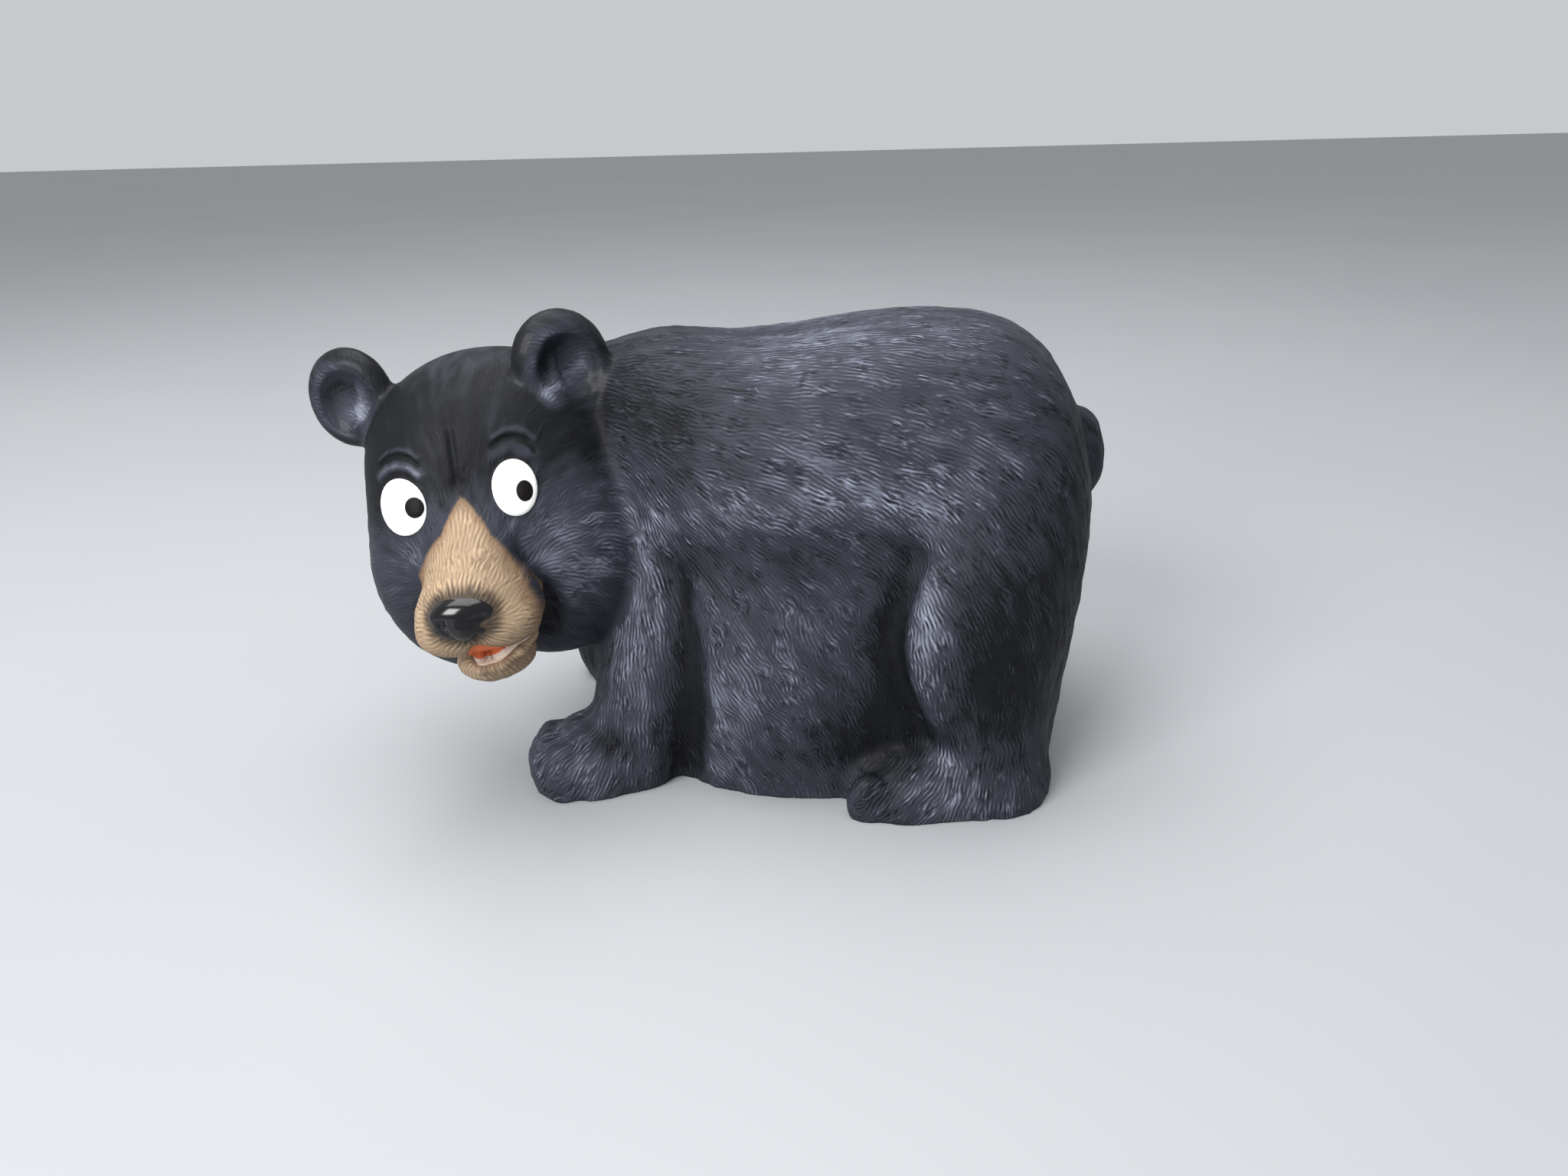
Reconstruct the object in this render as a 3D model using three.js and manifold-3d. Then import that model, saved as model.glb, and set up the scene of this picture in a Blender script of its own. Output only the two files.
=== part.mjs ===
// A bear that hides a cube box of paper tissues: one hollow resin casting, open below, with an oval mouth in
// the rump that the tissues are pulled from. Lengths are in millimetres and +Z is up. The body lies along X,
// with the chest at -X and the rump at +X, and the head is turned round to the bear's own left, at -Y.
// The bear is described as soft masses that run into each other. Each part of it is a three.js sphere whose
// points are drawn in onto those masses, and then the parts are joined, hollowed and cut off flat below.

import * as THREE from "three";
import { mergeVertices } from "three/addons/utils/BufferGeometryUtils.js";
import Module from "manifold-3d";

const wasm = await Module();
wasm.setup();

// Driving dimensions
const WALL = 6; // thickness of the casting
const CHEST_X = -94; // front end of the trunk
const RUMP_X = 121; // rear end of the trunk
const RUMP_HEIGHT = 183.5; // the back at its highest, over the hips
const SHOULDER_HEIGHT = 174.5;
const SHOULDER_HUMP = 7.9; // what the shoulders rise above that, where the neck sets in
const HIP_WIDTH = 134;
const SHOULDER_WIDTH = 72;
const HEAD_CENTRE = [-119, -22, 113.5];
const HEAD_TURN = 9.1; // degrees that the face is turned from -Y towards +X
const HEAD_NOD = -6.2; // degrees that it looks down, so it looks up a little
const HEAD_TILT = 7.4; // degrees that its left side is raised
const LEFT_CHEEK = 1.12; // how much wider the head is on its left than on its right
const TISSUE_MOUTH = { height: 58, across: 60, tall: 45 };
const TISSUE_BOX = { front: -23.6, length: 128, width: 110, height: 109 }; // the room that the box needs
const ORIGIN = [-28.6, -12.35, 0]; // the middle of the outline seen from above, moved to the frame's origin

// Small helpers on plain arrays
const minus = (a, b) => [a[0] - b[0], a[1] - b[1], a[2] - b[2]];
const plus = (a, b) => [a[0] + b[0], a[1] + b[1], a[2] + b[2]];
const times = (a, k) => [a[0] * k, a[1] * k, a[2] * k];
const dot = (a, b) => a[0] * b[0] + a[1] * b[1] + a[2] * b[2];
const size = (a) => Math.sqrt(dot(a, a));
const mix = (a, b, t) => a + (b - a) * t;
const ease = THREE.MathUtils.smoothstep;
const radians = THREE.MathUtils.degToRad;

// Two masses run into each other over k millimetres.
const join = (a, b, k) => Math.min(a, b) - Math.max(k - Math.abs(a - b), 0) ** 2 / (4 * k);

// Distance to an egg-shaped mass: below zero inside it
function egg(p, centre, radii) {
  const q = minus(p, centre);
  const near = size([q[0] / radii[0], q[1] / radii[1], q[2] / radii[2]]);
  const steep = size([q[0] / radii[0] ** 2, q[1] / radii[1] ** 2, q[2] / radii[2] ** 2]);
  return (near * (near - 1)) / Math.max(steep, 1e-9);
}

// Distance to a round bar that tapers from radius ra at a to radius rb at b
function bar(p, a, b, ra, rb) {
  const along = minus(b, a);
  const t = THREE.MathUtils.clamp(dot(minus(p, a), along) / dot(along, along), 0, 1);
  return size(minus(p, plus(a, times(along, t)))) - mix(ra, rb, t);
}

// Sideways, forwards and up for a thing that is turned about Z, then nods, then tilts
function axesOf(turn, nod, tilt) {
  const [y, n, t] = [turn, nod, tilt].map(radians);
  const ahead = [Math.sin(y), -Math.cos(y), 0];
  const level = [Math.cos(y), Math.sin(y), 0];
  const side = [level[0] * Math.cos(t), level[1] * Math.cos(t), Math.sin(t)];
  const raised = [-level[0] * Math.sin(t), -level[1] * Math.sin(t), Math.cos(t)];
  const front = minus(times(ahead, Math.cos(n)), times(raised, Math.sin(n)));
  const up = plus(times(raised, Math.cos(n)), times(ahead, Math.sin(n)));
  return [side, front, up];
}
const HEAD_AXES = axesOf(HEAD_TURN, HEAD_NOD, HEAD_TILT);
const inHead = (p) => HEAD_AXES.map((axis) => dot(minus(p, HEAD_CENTRE), axis));
const fromHead = (q) => HEAD_AXES.reduce((sum, axis, i) => plus(sum, times(axis, q[i])), HEAD_CENTRE);

// The trunk: a loaf with a flat back and upright sides, narrower and lower at the shoulders
function trunk([x, y, z]) {
  const rise = 84;
  const hind = ease(x, 20, 70);
  const hump = SHOULDER_HUMP * Math.exp(-(((x + 62) / 30) ** 2));
  const top = mix(SHOULDER_HEIGHT, RUMP_HEIGHT, ease(x, -25, 60)) + hump - rise;
  const flank = 1 - 0.035 * ease(-z, -120, -94) * ease(x, -70, -30);
  const half = (mix(SHOULDER_WIDTH, HIP_WIDTH, ease(x, -92, 5)) / 2) * flank;
  const rear = 6.6 * THREE.MathUtils.clamp((99 - z) / 64, 0, 2) * ease(x, 30, 110) - 5 * hind;
  const chest = -26 * ease(-z, -104, -50) * ease(-x, 20, 90);
  const halfLength = (RUMP_X - CHEST_X) / 2;
  const a = [
    Math.abs(x + rear + chest - (RUMP_X + CHEST_X) / 2) / halfLength,
    Math.abs(y) / half,
    Math.max(z - rise, 0) / top,
  ];
  const n = [mix(4, 5.1, hind), 2.8, mix(3, 2.5, hind)];
  const spans = [halfLength, half, top];
  const sum = Math.max(a[0] ** n[0] + a[1] ** n[1] + a[2] ** n[2], 1e-6);
  const s = sum ** (1 / 2.8);
  const slope = a.map((ratio, i) => ((s / sum / 2.8) * n[i] * ratio ** (n[i] - 1)) / spans[i]);
  return (s - 1) / Math.max(size(slope), 1 / 200);
}

// Rounded toes in an arc, added to a paw
function toes(d, p, place, radii) {
  for (let toe = 0; toe < 4; toe++) d = join(d, egg(p, place(toe), radii), 2.5);
  return d;
}

// The left foreleg: the shoulder, the leg and the chest beside it
function foreleg(p) {
  const shoulder = egg(p, [-39, -26, 84], [25, 25, 46]);
  const leg = bar(p, [-44, -34, 66], [-62, -45, 10], 24, 21);
  return join(join(shoulder, leg, 14), egg(p, [-62, -12, 54], [29, 27, 38]), 10);
}
function forepaw(p) {
  const paw = egg(p, [-77, -50, 8], [22, 22, 21]);
  const place = (toe) => {
    const angle = radians(112 + 28 * toe);
    return [-81 + 15 * Math.cos(angle), -50 - 16 * Math.sin(angle), 8];
  };
  return toes(paw, p, place, [9, 9, 15]);
}

// The left hind leg: the haunch, the knee and the shank
function hindleg(p) {
  const haunch = join(egg(p, [79, -34, 84], [38, 42, 62]), egg(p, [66, -50, 74], [20, 29, 30]), 12);
  return join(haunch, bar(p, [77, -50, 64], [86, -50, 6], 26, 25), 18);
}
function hindfoot(p) {
  const foot = bar(p, [87, -57, 4], [52, -64, 4], 20, 19);
  return toes(foot, p, (toe) => [38 + 2 * toe, -76 + 9 * toe, 6], [9, 6, 13]);
}

// The whole body without its head and feet. Both sides are alike, so the left side serves for both.
const onLeft = (p) => [p[0], -Math.abs(p[1]), p[2]];
const barrel = (q) => join(trunk(q), egg(q, [2, -20, 46], [58, 52, 62]), 12);
function body(p) {
  const q = onLeft(p);
  const legs = join(join(barrel(q), foreleg(q), 8), hindleg(q), 8);
  return join(legs, egg(q, [-78, 4, 124], [28, 26, 48]), 14);
}

// The skull and cheeks, and the muzzle with its lips and jaw, in the head's axes: sideways, forwards, up
function skull(p) {
  const h = inHead(p);
  const out = h[0] - 5;
  const q = [out > 0 ? out / LEFT_CHEEK : -out, h[1], h[2]];
  return join(egg(q, [0, -6, 13], [51, 48, 47]), egg(q, [15, 12, -21], [38, 37, 44]), 14);
}
function muzzle(p) {
  const h = inHead(p);
  const q = [Math.abs(h[0] - 0.8), h[1], h[2]];
  let d = bar(q, [0, 28, -8], [0, 63, -25], 24, 16);
  d = join(d, egg(q, [0, 58, -29], [23.6, 21, 16]), 6);
  d = join(d, egg(q, [10, 66, -33], [12.5, 12, 9.2]), 4);
  return join(d, egg(q, [0, 50, -50], [15, 17, 9]), 3);
}

// A sphere drawn in onto a form: each point slides down its own ray until it meets the form. A ray starts
// from the centre, or from a spine along X when the form is long.
function drawnIn(form, { centre, spine = 0, reach, across, rings, pole }) {
  const ball = new THREE.SphereGeometry(1, across, rings);
  ball.applyQuaternion(new THREE.Quaternion().setFromUnitVectors(new THREE.Vector3(0, 1, 0), pole));
  const place = ball.getAttribute("position");
  for (let i = 0; i < place.count; i++) {
    const way = [place.getX(i), place.getY(i), place.getZ(i)];
    const start = plus(centre, [spine * way[0], 0, 0]);
    let t = reach;
    for (let step = 0; step < 120 && t > 1; step++) {
      const gap = form(plus(start, times(way, t)));
      t -= gap * 0.8;
      if (Math.abs(gap) < 0.01) break;
    }
    place.setXYZ(i, ...plus(start, times(way, t)));
  }
  return ball;
}

// A closed three.js geometry as a solid that can be joined and cut, and a solid as a geometry
function solid(geometry) {
  const bare = geometry.clone();
  bare.deleteAttribute("normal");
  bare.deleteAttribute("uv");
  const merged = mergeVertices(bare, 1e-4);
  const vertProperties = new Float32Array(merged.getAttribute("position").array);
  const triVerts = new Uint32Array(merged.index.array);
  return new wasm.Manifold(new wasm.Mesh({ numProp: 3, vertProperties, triVerts }));
}
function geometryOf(made) {
  const mesh = made.getMesh();
  const geometry = new THREE.BufferGeometry();
  geometry.setAttribute("position", new THREE.BufferAttribute(new Float32Array(mesh.vertProperties), 3));
  geometry.setIndex(new THREE.BufferAttribute(new Uint32Array(mesh.triVerts), 1));
  geometry.computeVertexNormals();
  return geometry;
}
const vector = (a) => new THREE.Vector3(...a);

// An egg as a solid, placed by its centre, with its radii along three axes that make a right-handed set
function eggSolid(centre, radii, axes, across = 14, rings = 9) {
  const ball = new THREE.SphereGeometry(1, across, rings);
  ball.applyMatrix4(new THREE.Matrix4().makeScale(...radii));
  ball.applyMatrix4(new THREE.Matrix4().makeBasis(...axes.map(vector)));
  ball.translate(...centre);
  return solid(ball);
}
const UPRIGHT = [
  [1, 0, 0],
  [0, 1, 0],
  [0, 0, 1],
];
const FACING = [HEAD_AXES[0], HEAD_AXES[2], HEAD_AXES[1]];

// An ear: a thick round disc with a rolled rim, cupped in front. Side is 1 for the left and -1 for the right.
// The left ear sits further forwards, in front of the bulge of the skull.
const EAR = { across: 19, tall: 20, thick: 9, cup: 12, depth: 8.5 };
const earPlace = (side) => (side > 0 ? [43.5, 15, 50.5] : [-44.5, -6, 49]);
function ear(side) {
  const turn = radians(20 * side);
  const [s, f, u] = HEAD_AXES;
  const front = plus(times(f, Math.cos(turn)), times(s, Math.sin(turn)));
  const across = minus(times(s, Math.cos(turn)), times(f, Math.sin(turn)));
  const profile = [];
  for (let i = 0; i <= 8; i++) {
    const angle = radians(-90 + (i * 125) / 8);
    profile.push(new THREE.Vector2(EAR.across * Math.cos(angle), EAR.thick * Math.sin(angle)));
  }
  const rim = profile[8].y;
  for (let i = 1; i <= 5; i++) {
    const r = profile[8].x - (i === 5 ? profile[8].x : 1.5 + (i - 1) * 2.4);
    profile.push(new THREE.Vector2(r, rim - EAR.depth * Math.sqrt(Math.max(1 - (r / EAR.cup) ** 2, 0))));
  }
  const disc = new THREE.LatheGeometry([...profile.slice(0, -1), new THREE.Vector2(0, rim - EAR.depth)], 20);
  disc.scale(1, 1, EAR.tall / EAR.across);
  disc.applyMatrix4(new THREE.Matrix4().makeBasis(vector(times(across, -1)), vector(front), vector(u)));
  disc.translate(...fromHead(earPlace(side)));
  return solid(disc);
}

// The eyes and the nose are glossy domes that stand a little proud of the head.
function face() {
  const leftEye = eggSolid(fromHead([20.6, 41.4, 10.5]), [8.2, 10.2, 5], FACING);
  const rightEye = eggSolid(fromHead([-22.6, 37, 9.8]), [9.6, 10.2, 5], FACING);
  const nose = eggSolid(fromHead([-1.2, 76, -26]), [11.6, 7.4, 7.9], FACING);
  return leftEye.add(rightEye).add(nose);
}

// The outside of the bear, still solid and without its flat underside
function outside() {
  const lengthwise = vector([1, 0, 0]);
  const down = vector([0, 0, 1]);
  const sunk = (p) => Math.max(body(p), -16 - p[2]);
  const trunkWrap = { centre: [14, 0, 62], spine: 60, reach: 190, across: 57, rings: 38, pole: lengthwise };
  let bear = solid(drawnIn(sunk, trunkWrap));
  const pole = vector(HEAD_AXES[1]);
  const skullWrap = { centre: fromHead([4, 0, -4]), reach: 110, across: 33, rings: 21, pole };
  const muzzleWrap = { centre: fromHead([0, 46, -30]), reach: 70, across: 28, rings: 19, pole };
  bear = bear.add(solid(drawnIn(skull, skullWrap))).add(solid(drawnIn(muzzle, muzzleWrap)));
  for (const side of [1, -1]) {
    const near = (form) => (p) => form([p[0], p[1] * side, p[2]]);
    const paw = { centre: [-76, -48 * side, 6], reach: 60, across: 22, rings: 11, pole: down };
    const foot = { centre: [70, -60 * side, 5], spine: 20, reach: 70, across: 28, rings: 11, pole: down };
    bear = bear.add(solid(drawnIn(near(forepaw), paw))).add(solid(drawnIn(near(hindfoot), foot)));
    bear = bear.add(ear(side));
  }
  return bear.add(eggSolid([120, 0, 125], [12, 13, 20], UPRIGHT)).add(face());
}

// The room inside, open below: a wall's thickness within the trunk and haunches, and wide enough in its
// corners for the tissue box. The head and the forelegs are solid.
function inside() {
  const within = (p) => Math.max(join(barrel(onLeft(p)), hindleg(onLeft(p)), 8) + WALL, -30 - p[2]);
  const wrap = { centre: [14, 0, 62], spine: 50, reach: 190, across: 32, rings: 20, pole: vector([1, 0, 0]) };
  const room = solid(drawnIn(within, wrap));
  const { front, length, width, height } = TISSUE_BOX;
  const box = new THREE.BoxGeometry(length, width, height * 2);
  box.translate(front + length / 2, 0, 0);
  return room.add(solid(box));
}

// The oval mouth for the tissues, through the rump
function tissueMouth() {
  const tube = new THREE.CylinderGeometry(0.5, 0.5, 80, 28);
  tube.rotateZ(Math.PI / 2);
  tube.scale(1, TISSUE_MOUTH.across, TISSUE_MOUTH.tall);
  tube.translate(RUMP_X, 0, TISSUE_MOUTH.height);
  return solid(tube);
}

function ground() {
  const block = new THREE.BoxGeometry(600, 600, 60);
  block.translate(0, 0, -30);
  return solid(block);
}

const bear = outside().subtract(inside()).subtract(tissueMouth()).subtract(ground());
const casting = new THREE.Mesh(
  geometryOf(bear),
  new THREE.MeshStandardMaterial({ color: 0x2b2d33, roughness: 0.6, metalness: 0 }),
);
casting.name = "bear_cover";
casting.position.set(...times(ORIGIN, -1));

const group = new THREE.Group();
group.add(casting);
export default group;
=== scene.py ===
"""The looks of a cast resin bear that covers a cube box of tissues.

The casting is one piece. It is described as soft masses that run into each other, in millimetres, in the
bear's own axes: the body lies along X with the chest at -X and the rump at +X, and the head looks to -Y.
Spheres are drawn in onto the masses, joined into one skin, and settled onto the finished form. Tufts of
carved fur are raised on it, and then the room for the tissues, their mouth and the floor are cut away.
"""

from __future__ import annotations

import logging
import math
from dataclasses import dataclass, field
from enum import Enum
from typing import Callable

import bmesh
import bpy
import numpy as np
from mathutils import Matrix, Vector

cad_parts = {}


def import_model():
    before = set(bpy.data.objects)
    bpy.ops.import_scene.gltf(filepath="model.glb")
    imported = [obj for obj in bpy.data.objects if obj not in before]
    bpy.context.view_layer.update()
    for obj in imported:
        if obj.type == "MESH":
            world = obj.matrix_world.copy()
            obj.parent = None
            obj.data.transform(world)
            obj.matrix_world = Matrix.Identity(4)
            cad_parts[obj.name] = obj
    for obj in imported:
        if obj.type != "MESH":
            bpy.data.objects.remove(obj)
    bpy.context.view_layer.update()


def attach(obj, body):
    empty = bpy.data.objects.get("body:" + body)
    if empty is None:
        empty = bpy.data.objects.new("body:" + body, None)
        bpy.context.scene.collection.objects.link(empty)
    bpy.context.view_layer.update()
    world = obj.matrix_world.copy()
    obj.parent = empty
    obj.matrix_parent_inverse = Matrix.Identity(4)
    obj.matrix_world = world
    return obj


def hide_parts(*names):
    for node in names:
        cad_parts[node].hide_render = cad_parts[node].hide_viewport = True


LOG = logging.getLogger("bear")
Points = np.ndarray
Form = Callable[[Points], Points]
Pair = tuple[float, float]
Triple = tuple[float, float, float]

MM = 0.001
ORIGIN = np.array([-28.6, -12.35, 0.0])


def ease(x: Points, low: float, high: float) -> Points:
    """Rise smoothly from 0 at low to 1 at high."""
    t = np.clip((x - low) / (high - low), 0, 1)
    return t * t * (3 - 2 * t)


def bell(x: Points, middle: float, spread: float) -> Points:
    """A bell curve of height 1."""
    return np.exp(-(((x - middle) / spread) ** 2))


def join(a: Points, b: Points, k: float) -> Points:
    """Run two masses into each other over k millimetres."""
    return np.minimum(a, b) - np.maximum(k - np.abs(a - b), 0) ** 2 / (4 * k)


def carve(a: Points, b: Points, k: float) -> Points:
    """Cut mass b out of mass a, with an edge rounded over k millimetres."""
    return -join(-a, b, k)


def egg(p: Points, centre: Triple, radii: Triple) -> Points:
    """Distance to an egg-shaped mass, below zero inside it."""
    q = p - np.array(centre)
    r = np.array(radii)
    near = np.linalg.norm(q / r, axis=-1)
    steep = np.linalg.norm(q / r**2, axis=-1)
    return near * (near - 1) / np.maximum(steep, 1e-9)


def bar(p: Points, a: Triple, b: Triple, ra: float, rb: float) -> Points:
    """Distance to a round bar that tapers from radius ra at a to radius rb at b."""
    start = np.array(a, float)
    along = np.array(b, float) - start
    t = np.clip(((p - start) @ along) / (along @ along), 0, 1)
    return np.linalg.norm(p - start - t[:, None] * along, axis=-1) - (ra + (rb - ra) * t)


@dataclass(frozen=True)
class Egg:
    """An egg-shaped mass: its middle and its radii."""

    centre: Triple
    radii: Triple

    def gap(self, p: Points) -> Points:
        """Distance to the egg, below zero inside it."""
        return egg(p, self.centre, self.radii)


@dataclass(frozen=True)
class Bar:
    """A round bar that tapers from one end to the other."""

    start: Triple
    end: Triple
    start_radius: float
    end_radius: float

    def gap(self, p: Points) -> Points:
        """Distance to the bar, below zero inside it."""
        return bar(p, self.start, self.end, self.start_radius, self.end_radius)


def rounded(outline: tuple[Pair, ...]) -> Points:
    """A closed outline with its corners cut twice."""
    points = np.array(outline, float)
    for _ in range(2):
        after = np.roll(points, -1, axis=0)
        points = np.stack([points * 0.75 + after * 0.25, points * 0.25 + after * 0.75], axis=1).reshape(-1, 2)
    return points


def outline_gap(p: Points, outline: tuple[Pair, ...], reach: float = 6.0) -> Points:
    """Distance in a plane to a rounded outline, below zero inside it and never more than its reach."""
    corners = rounded(outline)
    gap = np.full(len(p), reach)
    near = np.all((p > corners.min(axis=0) - reach) & (p < corners.max(axis=0) + reach), axis=-1)
    q = p[near]
    inside = np.zeros(len(q), bool)
    least = np.full(len(q), reach)
    for start, end in zip(corners, np.roll(corners, -1, axis=0)):
        along = end - start
        t = np.clip(((q - start) @ along) / (along @ along), 0, 1)
        least = np.minimum(least, np.linalg.norm(q - start - t[:, None] * along, axis=-1))
        crosses = (start[1] > q[:, 1]) != (end[1] > q[:, 1])
        rise = along[1] if abs(along[1]) > 1e-9 else 1e-9
        inside ^= crosses & (q[:, 0] < along[0] * (q[:, 1] - start[1]) / rise + start[0])
    gap[near] = np.where(inside, -least, least)
    return gap


def oval_gap(h: Points, centre: Pair, radii: Pair) -> Points:
    """Distance to an upright oval, seen from in front, below zero inside it."""
    away = np.hypot((h[:, 0] - centre[0]) / radii[0], (h[:, 2] - centre[1]) / radii[1])
    return (away - 1) * min(radii)


def unit(v: Points) -> Points:
    """Scale vectors to length 1."""
    return v / np.maximum(np.linalg.norm(v, axis=-1, keepdims=True), 1e-9)


def height_and_slope(form: Form, p: Points, step: float = 0.2) -> tuple[Points, Points]:
    """A form's value and its gradient at each point, from samples at the corners of a small tetrahedron."""
    corners = np.array([[1, -1, -1], [-1, 1, -1], [-1, -1, 1], [1, 1, 1]], float) * step
    samples = np.stack([form(p + c) for c in corners])
    return samples.mean(axis=0), samples.T @ corners / (4 * step * step)


def outward(form: Form, p: Points) -> Points:
    """The outward direction of a form's surface."""
    return unit(height_and_slope(form, p)[1])


def lattice_noise(p: Points, seed: int) -> Points:
    """Smooth gradient noise between about -1 and 1, from hashed lattice corners.

    Args:
        p: Points, in lattice cells.
        seed: Picks the pattern.

    Returns:
        One value for each point.
    """
    cell = np.floor(p).astype(np.int64)
    t = p - cell
    fade = t * t * t * (t * (6 * t - 15) + 10)
    total = np.zeros(len(p))
    for corner in np.ndindex(2, 2, 2):
        c = cell + corner
        h = (c[:, 0] * 73856093) ^ (c[:, 1] * 19349663) ^ (c[:, 2] * 83492791) ^ (seed * 2654435761)
        h = (h ^ (h >> 13)) * 1274126177
        h = h ^ (h >> 16)
        arrow = np.stack([(h >> s) & 255 for s in (0, 8, 16)], axis=-1) / 127.5 - 1
        weight = np.prod(np.where(corner, fade, 1 - fade), axis=-1)
        total += weight * np.sum(arrow * (t - corner), axis=-1)
    return total * 1.3


@dataclass(frozen=True)
class Groove:
    """A soft valley along a line of points, or a soft ridge when its depth is below zero."""

    line: tuple[Triple, ...]
    depth: float
    spread: float

    @classmethod
    def seen_from_front(cls, line: tuple[Pair, ...], depth: float, spread: float) -> Groove:
        """A groove of the face that is drawn as it is seen from in front: sideways and up."""
        return cls(tuple((side, 0, up) for side, up in line), depth, spread)

    def at(self, q: Points) -> Points:
        """How deep the valley is at each point."""
        reach = 3 * self.spread
        low, high = np.min(self.line, axis=0) - reach, np.max(self.line, axis=0) + reach
        near = np.all((q > low) & (q < high), axis=-1)
        depth = np.zeros(len(q))
        gaps = [bar(q[near], a, b, 0, 0) for a, b in zip(self.line, self.line[1:])]
        depth[near] = self.depth * bell(np.min(gaps, axis=0), 0, self.spread)
        return depth


def to_left(p: Points) -> Points:
    """Mirror points onto the bear's left side, because both sides of its body are alike."""
    return p * [1, 0, 1] - np.abs(p) * [0, 1, 0]


@dataclass(frozen=True)
class Trunk:
    """A loaf with a flat back and upright sides, narrower and lower at the shoulders, and its belly."""

    chest_x: float = -94.0
    rump_x: float = 121.0
    rump_height: float = 183.5
    shoulder_height: float = 174.5
    shoulder_hump: float = 7.9
    hip_width: float = 134.0
    shoulder_width: float = 72.0
    rise: float = 84.0
    bulge: Triple = (4.0, 2.8, 3.0)
    rump_bulge: Triple = (5.1, 2.8, 2.5)
    whole: float = 2.8
    chest_cut: float = 26.0
    rear_lean: float = 6.6
    belly: Egg = Egg((2, -20, 46), (58, 52, 62))

    def loaf(self, q: Points) -> Points:
        """Distance to the trunk without its belly."""
        x, y, z = q.T
        hind = ease(x, 20, 70)
        top = self.shoulder_height + (self.rump_height - self.shoulder_height) * ease(x, -25, 60) - self.rise
        top = top + self.shoulder_hump * bell(x, -62, 30)
        flank = 1 - 0.035 * ease(-z, -120, -94) * ease(x, -70, -30)
        widen = (self.hip_width - self.shoulder_width) * ease(x, -92, 5)
        half = (self.shoulder_width + widen) / 2 * flank
        rear = self.rear_lean * np.clip((99 - z) / 64, 0, 2) * ease(x, 30, 110) - 5 * hind
        chest = -self.chest_cut * ease(-z, -104, -50) * ease(-x, 20, 90)
        span = (self.rump_x - self.chest_x) / 2
        a = (
            np.abs(x + rear + chest - (self.rump_x + self.chest_x) / 2) / span,
            np.abs(y) / half,
            np.maximum(z - self.rise, 0) / top,
        )
        n = [front + (back - front) * hind for front, back in zip(self.bulge, self.rump_bulge)]
        total = np.maximum(sum(ratio**power for ratio, power in zip(a, n)), 1e-6)
        s = total ** (1 / self.whole)
        steep = [
            s / total / self.whole * power * ratio ** (power - 1) / length
            for ratio, power, length in zip(a, n, (span, half, top))
        ]
        return (s - 1) / np.maximum(np.linalg.norm(steep, axis=0), 1 / 200)

    def form(self, q: Points) -> Points:
        """Distance to the trunk with its belly."""
        return join(self.loaf(q), self.belly.gap(q), 12)

    def lay(self, q: Points) -> Points:
        """The way the fur lies: along the back, and more and more down the sides."""
        side = ease(-q[:, 2], -150, -105)[:, None]
        low = ease(-q[:, 2], -115, -60)[:, None]
        rear = ease(q[:, 0], 45, 110)[:, None]
        on_back = np.array([1.0, 0.0, -0.3])
        on_flank = np.array([0.8, 0.0, -0.6])
        on_belly = np.array([0.5, 0.0, -0.86])
        on_rump = np.array([0.45, 0.0, -0.9])
        ahead = on_back * (1 - side) + (on_flank * (1 - low) + on_belly * low) * side
        return ahead * (1 - rear * side) + on_rump * rear * side


@dataclass(frozen=True)
class Foreleg:
    """The shoulder, the leg and the chest beside it, and the paw with its toes."""

    shoulder: Egg = Egg((-39, -26, 84), (25, 25, 46))
    shank: Bar = Bar((-44, -34, 66), (-62, -45, 10), 24, 21)
    chest: Egg = Egg((-62, -12, 54), (29, 27, 38))
    pad: Egg = Egg((-77, -50, 8), (22, 22, 21))
    toes: int = 4
    toe_radii: Triple = (9, 9, 15)

    def leg(self, q: Points) -> Points:
        """Distance to the shoulder and leg."""
        upper = join(self.shoulder.gap(q), self.shank.gap(q), 14)
        return join(upper, self.chest.gap(q), 10)

    def paw(self, q: Points) -> Points:
        """Distance to the paw."""
        d = self.pad.gap(q)
        for toe in range(self.toes):
            angle = math.radians(112 + 28 * toe)
            place = (-81 + 15 * math.cos(angle), -50 - 16 * math.sin(angle), 8)
            d = join(d, egg(q, place, self.toe_radii), 2.5)
        return d

    def leg_lay(self, q: Points) -> Points:
        """The fur lies down the leg."""
        return np.array([[-0.1, -0.1, -1.0]])

    def paw_lay(self, q: Points) -> Points:
        """The fur fans forwards and down over the toes."""
        return unit(q - np.array([-58, -46, 34]))


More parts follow.
